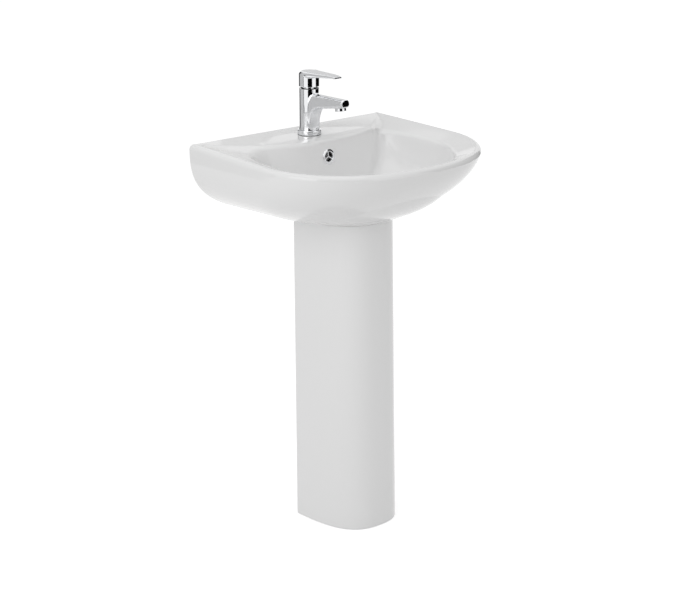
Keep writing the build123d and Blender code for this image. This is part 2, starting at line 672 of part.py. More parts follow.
with BuildPart() as basin:
    add(hull())
    fillet(basin.faces().sort_by(Axis.Z)[-1].edges(), RIM_ROUND)
    split(bisect_by=Plane((0, WALL_Y, 0), z_dir=(0, 1, 0)), keep=Keep.BOTTOM)
    add(dish(), mode=Mode.SUBTRACT)
    add(tap_pad(), mode=Mode.SUBTRACT)
    add(bowl(), mode=Mode.SUBTRACT)
    add(hollow.part, mode=Mode.SUBTRACT)
    add(pipe_way.part, mode=Mode.SUBTRACT)
    block(BACK_WINDOW_HALF, -BACK_STOCK, 2 * CHINA, SEAT_BACK_Z - 30, BACK_WINDOW_TOP, mode=Mode.SUBTRACT)
    turned(
        0,
        WASTE_Y,
        [
            (0, WASTE_SEAT_Z),
            (FLANGE_R + 1, WASTE_SEAT_Z),
            (FLANGE_R + 1, WASTE_SINK_Z),
            (WASTE_CONE_R, BOWL_FLOOR_Z),
            (WASTE_CONE_R, BOWL_FLOOR_Z + OVERCUT),
            (0, BOWL_FLOOR_Z + OVERCUT),
        ],
        mode=Mode.SUBTRACT,
    )
    with Locations((0, WASTE_Y, BOWL_FLOOR_Z)):
        Cylinder(WASTE_HOLE_R, 60, mode=Mode.SUBTRACT)
    with Locations((0, TAP_Y, PAD_Z)):
        Cylinder(TAP_HOLE_R, 60, mode=Mode.SUBTRACT)
    with BuildSketch(Plane.YZ):
        with BuildLine():
            Polyline(
                (WALL_Y - DUCT_OUT, DUCT_TOP_Z),
                (WALL_Y - DUCT_OUT, DUCT_TURN_Z),
                (WALL_Y - DUCT_OUT - DUCT_BEND, DUCT_BOTTOM_Z),
                (WASTE_Y, DUCT_BOTTOM_Z),
                (WASTE_Y, DUCT_BOTTOM_Z + DUCT_MOUTH),
                (WALL_Y - DUCT_OUT - DUCT_GAP - DUCT_BEND, DUCT_BOTTOM_Z + DUCT_MOUTH),
                (WALL_Y - DUCT_OUT - DUCT_GAP, DUCT_TURN_Z + DUCT_MOUTH),
                (WALL_Y - DUCT_OUT - DUCT_GAP, DUCT_TOP_Z),
                close=True,
            )
        make_face()
    extrude(amount=DUCT_HALF, both=True, mode=Mode.SUBTRACT)
    with Locations(OVERFLOW_PLANE):
        Cylinder(OVERFLOW_HOLE_R, 24, mode=Mode.SUBTRACT)
    with Locations(Plane.XZ.offset(-WALL_Y)):
        with Locations((-WALL_HOLE_SPACING / 2, WALL_HOLE_Z), (WALL_HOLE_SPACING / 2, WALL_HOLE_Z)):
            Cylinder(WALL_HOLE_R, 4 * WALL_BOSS_LENGTH, mode=Mode.SUBTRACT)
save(basin, "basin")

with BuildPart() as overflow_ring:
    spoke_reach = OVERFLOW_HOLE_R - OVERFLOW_SLEEVE_WALL
    with BuildSketch(OVERFLOW_PLANE.offset(OVERFLOW_RING_LIFT)):
        Circle(OVERFLOW_RING_R)
        Circle(spoke_reach - OVERFLOW_RING_ROUND, mode=Mode.SUBTRACT)
    extrude(amount=OVERFLOW_RING_THICK)
    with BuildSketch(OVERFLOW_PLANE.offset(-OVERFLOW_SLEEVE_DEPTH)):
        Circle(OVERFLOW_HOLE_R - SLIP)
        Circle(spoke_reach, mode=Mode.SUBTRACT)
    extrude(amount=OVERFLOW_SLEEVE_DEPTH + OVERFLOW_RING_LIFT + OVERFLOW_RING_ROUND)
    with BuildSketch(OVERFLOW_PLANE.offset(-OVERFLOW_SPOKE_DEPTH)):
        with PolarLocations(0, 3, start_angle=90):
            with Locations((spoke_reach / 2, 0)):
                Rectangle(spoke_reach, OVERFLOW_SPOKE)
        Circle(OVERFLOW_SPOKE)
    extrude(amount=OVERFLOW_SPOKE_DEPTH + OVERFLOW_RING_LIFT + OVERFLOW_RING_ROUND)
    outer_edges = overflow_ring.edges().filter_by(GeomType.CIRCLE).sort_by(lambda edge: edge.radius)
    fillet(outer_edges[-1:], OVERFLOW_RING_ROUND)
save(overflow_ring, "overflow_ring")

# ---- pedestal -------------------------------------------------------------
with BuildPart() as pedestal_inside:
    add(pedestal_core(PEDESTAL_WALL, -20, SEAT_CENTRE_Z + 30))
    split(bisect_by=PEDESTAL_BACK_PLANE.offset(-PEDESTAL_WALL), keep=Keep.BOTTOM)

with BuildPart() as pedestal:
    add(pedestal_core(0, 0, None))
    fillet(pedestal.faces().sort_by(Axis.Z)[0].edges(), PEDESTAL_FOOT_ROUND)
    split(bisect_by=PEDESTAL_BACK_PLANE, keep=Keep.BOTTOM)
    add(pedestal_inside.part, mode=Mode.SUBTRACT)
    block(
        PEDESTAL_TOP_HALF - PEDESTAL_WALL - PEDESTAL_FLANGE,
        PEDESTAL_TOP_BACK - BACK_STOCK,
        PEDESTAL_FOOT_BACK + 2 * PEDESTAL_WALL,
        -20,
        SEAT_CENTRE_Z + 30,
        mode=Mode.SUBTRACT,
    )
    for side in (-1, 1):
        lug_edge = PEDESTAL_FOOT_HALF - PEDESTAL_WALL / 2
        lug_inner = LUG_HOLE_SPACING / 2 - LUG_SIZE / 2
        with Locations((side * (lug_edge + lug_inner) / 2, WALL_Y - LUG_HOLE_OUT, LUG_THICKNESS / 2)):
            Box(lug_edge - lug_inner, LUG_SIZE, LUG_THICKNESS)
    with Locations(
        (-LUG_HOLE_SPACING / 2, WALL_Y - LUG_HOLE_OUT, 0), (LUG_HOLE_SPACING / 2, WALL_Y - LUG_HOLE_OUT, 0)
    ):
        Cylinder(LUG_HOLE_R, 4 * LUG_THICKNESS, mode=Mode.SUBTRACT)
save(pedestal, "pedestal")

with BuildPart() as bedding_strip:
    with BuildSketch(level(SEAT_WALL_Z - BEDDING, -SEAT_TILT)) as bedding_outline:
        add(pedestal_outline(SEAT_CENTRE_Z, BEDDING_INSET))
        add(pedestal_outline(SEAT_CENTRE_Z, PEDESTAL_WALL - BEDDING_INSET), mode=Mode.SUBTRACT)
    extrude(amount=BEDDING * cos(radians(SEAT_TILT)))
    split(bisect_by=PEDESTAL_BACK_PLANE.offset(-BEDDING_INSET), keep=Keep.BOTTOM)
save(bedding_strip, "bedding_strip")

# ---- tap: body and fixings ------------------------------------------------
with BuildPart() as tap_gasket:
    tube(0, TAP_Y, TAP_RING_R - TAP_GASKET, TAP_RING_HOLE_R, PAD_Z, RING_Z)
save(tap_gasket, "tap_gasket")

with BuildPart() as tap_base_ring:
    tube(0, TAP_Y, TAP_RING_R, TAP_RING_HOLE_R, RING_Z, RING_Z + TAP_RING_HEIGHT)
    chamfer(tap_base_ring.faces().sort_by(Axis.Z)[-1].outer_wire().edges(), TAP_RING_CHAMFER)
    bore(0, TAP_Y, BODY_R + SLIP, BODY_BOTTOM_Z, RING_Z + TAP_RING_HEIGHT + OVERCUT)
save(tap_base_ring, "tap_base_ring")

with BuildPart() as tap_body:
    turned(
        0,
        TAP_Y,
        [
            (0, BODY_BOTTOM_Z),
            (BODY_R, BODY_BOTTOM_Z),
            (BODY_R, BODY_TOP_Z),
            (SWEEP_R, SWEEP_Z),
            (0, SWEEP_Z),
        ],
    )
    with BuildSketch(spout_plane(SPOUT_ROOT), mode=Mode.PRIVATE) as spout_root:
        with Locations((0, -SPOUT_ROOT_HEIGHT / 2)):
            RectangleRounded(2 * SPOUT_ROOT_HALF, SPOUT_ROOT_HEIGHT, SPOUT_ROOT_HALF - 1)
    with BuildSketch(spout_plane(SPOUT_REACH), mode=Mode.PRIVATE) as spout_tip:
        with Locations((0, -SPOUT_TIP_HEIGHT / 2)):
            RectangleRounded(2 * SPOUT_TIP_HALF, SPOUT_TIP_HEIGHT, SPOUT_TIP_ROUND)
    loft([spout_root.sketch, spout_tip.sketch])
    with BuildSketch(Plane.YZ):
        with BuildLine():
            Line((TAP_Y, GUSSET_BOTTOM_Z), (TAP_Y - BODY_R, GUSSET_BOTTOM_Z))
            TangentArc(
                (TAP_Y - BODY_R, GUSSET_BOTTOM_Z),
                (TAP_Y - GUSSET_REACH, SPOUT_TOP_Z - spout_height(GUSSET_REACH)),
                tangent=(0, 1),
            )
            Polyline(
                (TAP_Y - GUSSET_REACH, SPOUT_TOP_Z - spout_height(GUSSET_REACH)),
                (TAP_Y, SPOUT_TOP_Z - SPOUT_ROOT_HEIGHT / 2),
                (TAP_Y, GUSSET_BOTTOM_Z),
            )
        make_face()
    extrude(amount=GUSSET_HALF, both=True)
    with BuildSketch(AERATOR_PLANE):
        Circle(AERATOR_R)
    extrude(amount=-AERATOR_SOCKET_DEPTH)
    bevel = Plane((0, TAP_Y - SPOUT_REACH, SPOUT_TOP_Z - SPOUT_BEVEL), x_dir=(1, 0, 0), z_dir=(0, -1, 1))
    split(bisect_by=bevel, keep=Keep.BOTTOM)
    bore(0, TAP_Y, CHAMBER_R, CHAMBER_BOTTOM_Z, CHAMBER_TOP_Z)
    channel_height = SPOUT_TIP_HEIGHT - 2 * SPOUT_WALL
    channel_end_reach = AERATOR_REACH + AERATOR_SOCKET_R - SPOUT_WALL
    with BuildSketch(spout_plane(CHAMBER_R - BODY_WALL / 2), mode=Mode.PRIVATE) as channel_root:
        with Locations((0, CHAMBER_TOP_Z - SPOUT_TOP_Z - SPOUT_TIP_HEIGHT / 2)):
            RectangleRounded(2 * (SPOUT_ROOT_HALF - 2 * SPOUT_WALL), channel_height, SPOUT_WALL)
    with BuildSketch(spout_plane(channel_end_reach), mode=Mode.PRIVATE) as channel_end:
        with Locations((0, -SPOUT_TIP_HEIGHT / 2)):
            RectangleRounded(2 * (SPOUT_TIP_HALF - SPOUT_WALL), channel_height, SPOUT_WALL)
    loft([channel_root.sketch, channel_end.sketch], mode=Mode.SUBTRACT)
    with BuildSketch(AERATOR_PLANE):
        Circle(AERATOR_SOCKET_R)
    extrude(amount=-AERATOR_SOCKET_DEPTH, mode=Mode.SUBTRACT)
    for x, y in CARTRIDGE_PORTS[:2]:
        tube(x, y, RISER_R, PORT_R, CHAMBER_BOTTOM_Z - OVERCUT, CHAMBER_TOP_Z + OVERCUT)
        bore(x, y, INLET_R, BODY_BOTTOM_Z - OVERCUT, BODY_BOTTOM_Z + INLET_LENGTH)
        bore(x, y, PORT_R, BODY_BOTTOM_Z, CHAMBER_BOTTOM_Z)
    for x, y in CARTRIDGE_PORTS:
        bore(x, y, PORT_R, CHAMBER_TOP_Z - OVERCUT, CARTRIDGE_SEAT_Z + OVERCUT)
    bore(0, TAP_Y + STUD_BACK, STUD_R, BODY_BOTTOM_Z - OVERCUT, BODY_BOTTOM_Z + STUD_DEPTH)
    bore(0, TAP_Y, CARTRIDGE_R + SLIP, CARTRIDGE_SEAT_Z, SWEEP_Z + OVERCUT)
    bore(0, TAP_Y, NUT_R, NUT_BOTTOM_Z, SWEEP_Z + OVERCUT)
save(tap_body, "tap_body")

with BuildPart() as tap_stud:
    tube(0, TAP_Y + STUD_BACK, STUD_R, 0, STUD_BOTTOM_Z, BODY_BOTTOM_Z + STUD_DEPTH)
save(tap_stud, "tap_stud")

with BuildPart() as horseshoe_gasket:
    horseshoe(HORSESHOE_Z + HORSESHOE_PLATE, HORSESHOE_GASKET, HORSESHOE_R)
save(horseshoe_gasket, "horseshoe_gasket")

with BuildPart() as horseshoe_plate:
    horseshoe(HORSESHOE_Z, HORSESHOE_PLATE, HORSESHOE_R)
save(horseshoe_plate, "horseshoe_plate")

with BuildPart() as stud_nut:
    with BuildSketch(Plane((0, TAP_Y + STUD_BACK, HORSESHOE_Z - STUD_NUT_HEIGHT))):
        RegularPolygon(STUD_NUT_FLATS / 2, 6, major_radius=False)
        Circle(STUD_R, mode=Mode.SUBTRACT)
    extrude(amount=STUD_NUT_HEIGHT)
save(stud_nut, "stud_nut")

with BuildPart() as aerator_housing:
    with BuildSketch(AERATOR_PLANE):
        Circle(AERATOR_R)
    extrude(amount=AERATOR_LENGTH)
    with BuildSketch(AERATOR_PLANE):
        Circle(AERATOR_SOCKET_R)
    extrude(amount=-AERATOR_THREAD)
    with BuildSketch(AERATOR_PLANE.offset(-AERATOR_THREAD)):
        Circle(AERATOR_SOCKET_R - AERATOR_WALL)
    extrude(amount=AERATOR_THREAD + AERATOR_LENGTH, mode=Mode.SUBTRACT)
save(aerator_housing, "aerator_housing")

with BuildPart() as aerator_insert:
    with BuildSketch(AERATOR_PLANE):
        Circle(AERATOR_SOCKET_R - AERATOR_WALL)
        with GridLocations(AERATOR_CELL, AERATOR_CELL, AERATOR_CELLS, AERATOR_CELLS):
            Rectangle(AERATOR_CELL - AERATOR_BAR, AERATOR_CELL - AERATOR_BAR, mode=Mode.SUBTRACT)
        Circle(AERATOR_SOCKET_R - AERATOR_WALL)
        Circle(AERATOR_SOCKET_R - AERATOR_WALL - AERATOR_BAR, mode=Mode.SUBTRACT)
    extrude(amount=AERATOR_LENGTH - AERATOR_BAR)
save(aerator_insert, "aerator_insert")

with BuildPart() as aerator_seal:
    with BuildSketch(AERATOR_PLANE.offset(-AERATOR_SOCKET_DEPTH)):
        Circle(AERATOR_SOCKET_R)
        Circle(AERATOR_SOCKET_R - AERATOR_WALL, mode=Mode.SUBTRACT)
    extrude(amount=AERATOR_SEAL)
save(aerator_seal, "aerator_seal")

# ---- tap: cartridge -------------------------------------------------------
with BuildPart() as cartridge_seals:
    for x, y in CARTRIDGE_PORTS:
        tube(x, y, PORT_SEAL_R, PORT_R, CARTRIDGE_SEAT_Z, CARTRIDGE_SEAT_Z + PORT_SEAL)
save(cartridge_seals, "cartridge_seals")

with BuildPart() as cartridge_housing:
    tube(0, TAP_Y, CARTRIDGE_R, 0, CARTRIDGE_SEAT_Z, CARTRIDGE_TOP_Z)
    bore(0, TAP_Y, CARTRIDGE_BORE_R, FIXED_DISC_Z, CARTRIDGE_TOP_Z - CARTRIDGE_LIP)
    bore(0, TAP_Y, CARRIER_TOP_R + CLEAR, FIXED_DISC_Z, CARTRIDGE_TOP_Z + OVERCUT)
    for x, y in CARTRIDGE_PORTS:
        bore(x, y, PORT_SEAL_R, CARTRIDGE_SEAT_Z - OVERCUT, CARTRIDGE_SEAT_Z + PORT_SEAL)
        bore(x, y, PORT_R, CARTRIDGE_SEAT_Z, FIXED_DISC_Z + OVERCUT)
save(cartridge_housing, "cartridge_housing")

with BuildPart() as fixed_disc:
    tube(0, TAP_Y, CARTRIDGE_BORE_R - SLIP / 2, 0, FIXED_DISC_Z, FIXED_DISC_Z + DISC_THICK)
    for x, y in CARTRIDGE_PORTS:
        bore(x, y, PORT_R, FIXED_DISC_Z - OVERCUT, FIXED_DISC_Z + DISC_THICK + OVERCUT)
save(fixed_disc, "fixed_disc")

with BuildPart() as moving_disc:
    tube(0, TAP_Y + DISC_SHIFT, DISC_R, 0, MOVING_DISC_Z, MOVING_DISC_Z + DISC_THICK)
    tube(0, TAP_Y, DISC_COLLAR_R, 0, MOVING_DISC_Z + DISC_THICK, MOVING_DISC_Z + DISC_THICK + DISC_COLLAR)
    with BuildSketch(Plane((0, TAP_Y, MOVING_DISC_Z))):
        with Locations((0, PORT_R + CLEAR + PORT_R / 2)):
            Rectangle(2 * PORT_OFFSET, PORT_R)
        with Locations((0, PORT_R / 2)):
            Rectangle(2 * PORT_R, 2 * PORT_R + PORT_R)
    extrude(amount=DISC_POCKET, mode=Mode.SUBTRACT)
    ball_slot = (2 * (BALL_R + RUN), 2 * (BALL_R + CLEAR))
    with BuildSketch(Plane((0, TAP_Y, PIVOT_Z - ARM - BALL_R - CLEAR))):
        Rectangle(*ball_slot)
    extrude(amount=DISC_THICK + DISC_COLLAR, mode=Mode.SUBTRACT)
save(moving_disc, "moving_disc")

with BuildPart() as cartridge_carrier:
    tube(0, TAP_Y, CARTRIDGE_BORE_R - 2 * RUN, 0, CARRIER_Z, CARRIER_SHOULDER_Z)
    tube(0, TAP_Y, CARRIER_TOP_R, 0, CARRIER_Z, CARTRIDGE_TOP_Z)
    with BuildSketch(Plane((0, TAP_Y, CARRIER_Z))):
        Rectangle(2 * (SPINDLE_R + SLIP), 2 * CARRIER_SLOT)
    extrude(amount=CARTRIDGE_TOP_Z - CARRIER_Z, mode=Mode.SUBTRACT)
    cross_bore(TAP_Y, PIVOT_Z, PIVOT_PIN_R, CARTRIDGE_BORE_R)
save(cartridge_carrier, "cartridge_carrier")

with BuildPart() as pivot_pin:
    cross_bore(TAP_Y, PIVOT_Z, PIVOT_PIN_R, CARTRIDGE_BORE_R - 4 * CLEAR, mode=Mode.ADD)
save(pivot_pin, "pivot_pin")

with BuildPart() as spindle:
    with Locations((0, TAP_Y, PIVOT_Z - ARM)):
        Sphere(BALL_R)
    tube(0, TAP_Y, SPINDLE_NECK_R, 0, PIVOT_Z - ARM, PIVOT_Z)
    tube(0, TAP_Y, SPINDLE_R, 0, PIVOT_Z - SPINDLE_NECK_TOP, HUB_BOTTOM_Z + SPINDLE_GRIP)
    cross_bore(TAP_Y, PIVOT_Z, PIVOT_PIN_R + RUN, 2 * SPINDLE_R)
save(spindle, "spindle")

with BuildPart() as cartridge_nut:
    turned(
        0,
        TAP_Y,
        [
            (CARTRIDGE_R + SLIP, NUT_BOTTOM_Z),
            (NUT_R, NUT_BOTTOM_Z),
            (NUT_R, BODY_TOP_Z),
            (CARTRIDGE_R + NUT_LIP / 2, CARTRIDGE_TOP_Z),
            (NUT_TOP_R, CARTRIDGE_TOP_Z + NUT_LIP),
            (NUT_LIP_R, CARTRIDGE_TOP_Z + NUT_LIP),
            (NUT_LIP_R, CARTRIDGE_TOP_Z),
            (CARTRIDGE_R + SLIP, CARTRIDGE_TOP_Z),
        ],
    )
save(cartridge_nut, "cartridge_nut")

# ---- tap: lever -----------------------------------------------------------
with BuildPart() as paddle:
    with BuildSketch(Plane((0, TAP_Y, SKIRT_BOTTOM_Z))):
        with BuildLine():
            Polyline(
                (-LEVER_ROOT_HALF, 0),
                (LEVER_ROOT_HALF, 0),
                (LEVER_ROOT_HALF, -LEVER_ROOT),
                (LEVER_TIP_HALF, -LEVER_REACH),
                (-LEVER_TIP_HALF, -LEVER_REACH),
                (-LEVER_ROOT_HALF, -LEVER_ROOT),
                close=True,
            )
        make_face()
    extrude(amount=LEVER_TOP_Z - SKIRT_BOTTOM_Z)
    tip_z = LEVER_TOP_Z - LEVER_TIP_DROP
    with BuildSketch(Plane.YZ):
        with BuildLine():
            Line((TAP_Y, LEVER_TOP_Z), (TAP_Y - LEVER_FLAT, LEVER_TOP_Z))
            TangentArc((TAP_Y - LEVER_FLAT, LEVER_TOP_Z), (TAP_Y - LEVER_REACH, tip_z), tangent=(-1, 0))
            Line((TAP_Y - LEVER_REACH, tip_z), (TAP_Y - LEVER_REACH, tip_z - LEVER_TIP_THICK))
            Spline(
                (TAP_Y - LEVER_REACH, tip_z - LEVER_TIP_THICK),
                (TAP_Y - LEVER_FLAT, LEVER_TOP_Z - LEVER_FORE_THICK),
                (TAP_Y - LEVER_FLAT / 2, LEVER_TOP_Z - LEVER_MID_THICK),
                (TAP_Y, LEVER_TOP_Z - LEVER_ROOT_THICK),
            )
            Line((TAP_Y, LEVER_TOP_Z - LEVER_ROOT_THICK), (TAP_Y, LEVER_TOP_Z))
        make_face()
    extrude(amount=SKIRT_R, both=True, mode=Mode.INTERSECT)

with BuildPart() as lever_handle:
    tube(0, TAP_Y, SKIRT_R, 0, SKIRT_BOTTOM_Z, LEVER_TOP_Z)
    add(paddle.part)
    fillet(lever_handle.faces().sort_by(Axis.Z)[-1].edges().filter_by(Axis.X, reverse=True), LEVER_ROUND)
    turned(
        0,
        TAP_Y,
        [
            (0, SKIRT_BOTTOM_Z - OVERCUT),
            (SKIRT_R - SKIRT_WALL, SKIRT_BOTTOM_Z - OVERCUT),
            (SKIRT_R - SKIRT_WALL, LEVER_TOP_Z - LEVER_SHOULDER - 1),
            (SKIRT_R - SKIRT_WALL - LEVER_ROOF, LEVER_TOP_Z - LEVER_ROOF),
            (0, LEVER_TOP_Z - LEVER_ROOF),
        ],
        mode=Mode.SUBTRACT,
    )
    tube(0, TAP_Y, HUB_R, 0, HUB_BOTTOM_Z, LEVER_TOP_Z - LEVER_ROOF + OVERCUT)
    with BuildSketch(Plane((0, TAP_Y, HUB_BOTTOM_Z))):
        with Locations((0, (SKIRT_R - SKIRT_WALL / 2) / 2)):
            Rectangle(2 * RIB_HALF, SKIRT_R - SKIRT_WALL / 2)
    extrude(amount=LEVER_TOP_Z - LEVER_ROOF - HUB_BOTTOM_Z + OVERCUT)
    bore(0, TAP_Y, SPINDLE_R, HUB_BOTTOM_Z - OVERCUT, HUB_BOTTOM_Z + SPINDLE_GRIP)
    with BuildSketch(backward_plane(0)):
        Circle(SCREW_R)
    extrude(amount=SKIRT_R + OVERCUT, mode=Mode.SUBTRACT)
    with BuildSketch(backward_plane(SKIRT_R - LEVER_PLUG_LENGTH)):
        Circle(LEVER_PLUG_R)
    extrude(amount=LEVER_PLUG_LENGTH + OVERCUT, mode=Mode.SUBTRACT)
save(lever_handle, "lever_handle")

with BuildPart() as lever_grub_screw:
    with BuildSketch(backward_plane(SPINDLE_R)):
        Circle(SCREW_R)
    extrude(amount=SCREW_LENGTH)
    with BuildSketch(backward_plane(SPINDLE_R + SCREW_LENGTH)):
        RegularPolygon(SCREW_R / 2, 6)
    extrude(amount=-SCREW_R, mode=Mode.SUBTRACT)
save(lever_grub_screw, "lever_grub_screw")

with BuildPart() as lever_plug:
    with BuildSketch(backward_plane(SKIRT_R - LEVER_PLUG_LENGTH)):
        Circle(LEVER_PLUG_R)
    extrude(amount=LEVER_PLUG_LENGTH - SLIP)
save(lever_plug, "lever_plug")

# ---- waste ----------------------------------------------------------------
with BuildPart() as waste_top_gasket:
    tube(0, WASTE_Y, FLANGE_R - OVERCUT, WASTE_HOLE_R, WASTE_SEAT_Z, FLANGE_Z)
save(waste_top_gasket, "waste_top_gasket")

with BuildPart() as waste_body:
    tube(0, WASTE_Y, FLANGE_R, 0, FLANGE_Z, FLANGE_TOP_Z)
    fillet(waste_body.faces().sort_by(Axis.Z)[-1].edges(), FLANGE_THICK / 2)
    tube(0, WASTE_Y, TAIL_R, 0, TAIL_BOTTOM_Z, FLANGE_Z)
    bore(0, WASTE_Y, FLANGE_RECESS_R, FLANGE_TOP_Z - FLANGE_RECESS, FLANGE_TOP_Z + OVERCUT)
    bore(0, WASTE_Y, TAIL_BORE_R, TAIL_BOTTOM_Z - OVERCUT, FLANGE_TOP_Z)
    tube(0, WASTE_Y, SPIDER_HUB_R, CLICKER_STUB_R, SPIDER_Z, CLICKER_Z)
    with BuildSketch(Plane((0, WASTE_Y, SPIDER_Z))):
        with PolarLocations((SPIDER_HUB_R + TAIL_BORE_R) / 2, 3, start_angle=90):
            Rectangle(TAIL_BORE_R - SPIDER_HUB_R + 2 * OVERCUT, 2 * SPIDER_BAR_HALF)
    extrude(amount=SPIDER_THICK)
    with BuildSketch(Plane.XZ.offset(-WASTE_Y)):
        with Locations((0, DUCT_BOTTOM_Z + DUCT_MOUTH / 2)):
            Rectangle(2 * SLOT_HALF, DUCT_MOUTH)
    extrude(amount=TAIL_R + OVERCUT, both=True, mode=Mode.SUBTRACT)
save(waste_body, "waste_body")

with BuildPart() as waste_bottom_gasket:
    tube(0, WASTE_Y, BOTTOM_GASKET_R, TAIL_R, WASTE_BOSS_Z - BOTTOM_GASKET, WASTE_BOSS_Z)
save(waste_bottom_gasket, "waste_bottom_gasket")

with BuildPart() as waste_backnut:
    with BuildSketch(Plane((0, WASTE_Y, WASTE_BOSS_Z - BOTTOM_GASKET - BACKNUT_THICK))):
        RegularPolygon(BACKNUT_FLATS / 2, 6, major_radius=False)
        Circle(TAIL_R, mode=Mode.SUBTRACT)
    extrude(amount=BACKNUT_THICK)
save(waste_backnut, "waste_backnut")

with BuildPart() as clicker_housing:
    tube(0, WASTE_Y, CLICKER_R, 0, CLICKER_Z, CLICKER_TOP_Z)
    tube(0, WASTE_Y, CLICKER_STUB_R, 0, SPIDER_Z, CLICKER_Z)
    bore(0, WASTE_Y, CLICKER_BORE_R, CLICKER_Z + CLICKER_FLOOR, CLICKER_TOP_Z - CLICKER_LIP)
    bore(0, WASTE_Y, CLICKER_PIN_R + CLEAR, CLICKER_TOP_Z - CLICKER_LIP - OVERCUT, CLICKER_TOP_Z + OVERCUT)
save(clicker_housing, "clicker_housing")

with BuildPart() as clicker_pin:
    tube(0, WASTE_Y, CLICKER_PIN_R, 0, PIN_BOTTOM_Z, PLUG_Z)
    tube(0, WASTE_Y, CLICKER_BORE_R - CLEAR, 0, PIN_BOTTOM_Z, PIN_BOTTOM_Z + CLICKER_COLLAR)
save(clicker_pin, "clicker_pin")

with BuildPart() as click_spring:
    spring_z = CLICKER_Z + CLICKER_FLOOR + SPRING_WIRE / 2
    spring_height = PIN_BOTTOM_Z - SPRING_WIRE / 2 - spring_z
    with BuildLine(Plane((0, WASTE_Y, spring_z))) as spring_path:
        Helix(spring_height / SPRING_TURNS, spring_height, SPRING_R)
    with BuildSketch(Plane(spring_path.line @ 0, z_dir=spring_path.line % 0)):
        Circle(SPRING_WIRE / 2)
    sweep(path=spring_path.line, is_frenet=True)
save(click_spring, "click_spring")

with BuildPart() as plug_cap:
    with BuildSketch(Plane((0, WASTE_Y, 0), x_dir=(1, 0, 0), z_dir=(0, -1, 0))):
        with BuildLine():
            rim_z = PLUG_Z + PLUG_EDGE
            Polyline((0, rim_z + PLUG_CROWN), (0, PLUG_Z), (PLUG_R, PLUG_Z), (PLUG_R, rim_z))
            Spline(
                (PLUG_R, rim_z),
                (PLUG_R - PLUG_EDGE, rim_z + PLUG_EDGE),
                (0, rim_z + PLUG_CROWN),
                tangents=((0, 1), (-1, 0)),
            )
        make_face()
    revolve(axis=Axis((0, WASTE_Y, 0), (0, 0, 1)))
    tube(0, WASTE_Y, PLUG_BOSS_R, CLICKER_PIN_R, PLUG_Z - PLUG_BOSS, PLUG_Z)
save(plug_cap, "plug_cap")

with BuildPart() as plug_seal:
    tube(0, WASTE_Y, PLUG_SEAL_R, PLUG_SEAL_INNER_R, PLUG_Z - PLUG_SEAL, PLUG_Z)
save(plug_seal, "plug_seal")

# ---- bottle trap ----------------------------------------------------------
with BuildPart() as trap_body:
    turned(
        0,
        WASTE_Y,
        [
            (DIP_R - TRAP_WALL, DIP_BOTTOM_Z),
            (DIP_R, DIP_BOTTOM_Z),
            (DIP_R, TRAP_BODY_TOP_Z - TRAP_WALL),
            (TRAP_BODY_R - TRAP_WALL, TRAP_BODY_TOP_Z - TRAP_WALL),
            (TRAP_BODY_R - TRAP_WALL, TRAP_BODY_BOTTOM_Z),
            (TRAP_BODY_R, TRAP_BODY_BOTTOM_Z),
            (TRAP_BODY_R, TRAP_BODY_TOP_Z),
            (TRAP_NECK_R, TRAP_BODY_TOP_Z + TRAP_NECK_WALL),
            (TRAP_NECK_R, TRAP_NECK_TOP_Z),
            (TRAP_NECK_R - TRAP_NECK_WALL, TRAP_NECK_TOP_Z),
            (TRAP_NECK_R - TRAP_NECK_WALL, TRAP_NECK_TOP_Z - TRAP_NECK_DEPTH),
            (DIP_R - TRAP_WALL, TRAP_NECK_TOP_Z - TRAP_NECK_DEPTH),
        ],
    )
    branch = Plane((0, WALL_Y - TRAP_OUTLET_OUT, TRAP_OUTLET_Z), x_dir=(1, 0, 0), z_dir=(0, 1, 0))
    branch_length = WASTE_OUT - TRAP_BODY_R + TRAP_WALL / 2 - TRAP_OUTLET_OUT
    with BuildSketch(branch):
        Circle(TRAP_OUTLET_R)
    extrude(amount=-branch_length)
    with BuildSketch(branch):
        Circle(TRAP_OUTLET_BORE_R)
    extrude(amount=-branch_length - TRAP_WALL, mode=Mode.SUBTRACT)
    with BuildSketch(branch):
        Circle(TRAP_SOCKET_R)
    extrude(amount=-TRAP_SOCKET_DEPTH, mode=Mode.SUBTRACT)
save(trap_body, "trap_body")

with BuildPart() as trap_inlet_washer:
    tube(0, WASTE_Y, TRAP_NECK_R, TAIL_R, TRAP_NECK_TOP_Z, TRAP_WASHER_TOP_Z)
save(trap_inlet_washer, "trap_inlet_washer")

with BuildPart() as trap_inlet_nut:
    tube(
        0,
        WASTE_Y,
        TRAP_NECK_R + TRAP_NUT_WALL,
        TAIL_R + CLEAR,
        TRAP_WASHER_TOP_Z + TRAP_NUT_LIP - TRAP_NUT_HEIGHT,
        TRAP_WASHER_TOP_Z + TRAP_NUT_LIP,
    )
    bore(0, WASTE_Y, TRAP_NECK_R, TRAP_WASHER_TOP_Z - TRAP_NUT_HEIGHT, TRAP_WASHER_TOP_Z)
save(trap_inlet_nut, "trap_inlet_nut")

with BuildPart() as trap_cup_seal:
    tube(
        0,
        WASTE_Y,
        TRAP_BODY_R,
        TRAP_BODY_R - TRAP_WALL,
        TRAP_BODY_BOTTOM_Z - TRAP_CUP_SEAL,
        TRAP_BODY_BOTTOM_Z,
    )
save(trap_cup_seal, "trap_cup_seal")

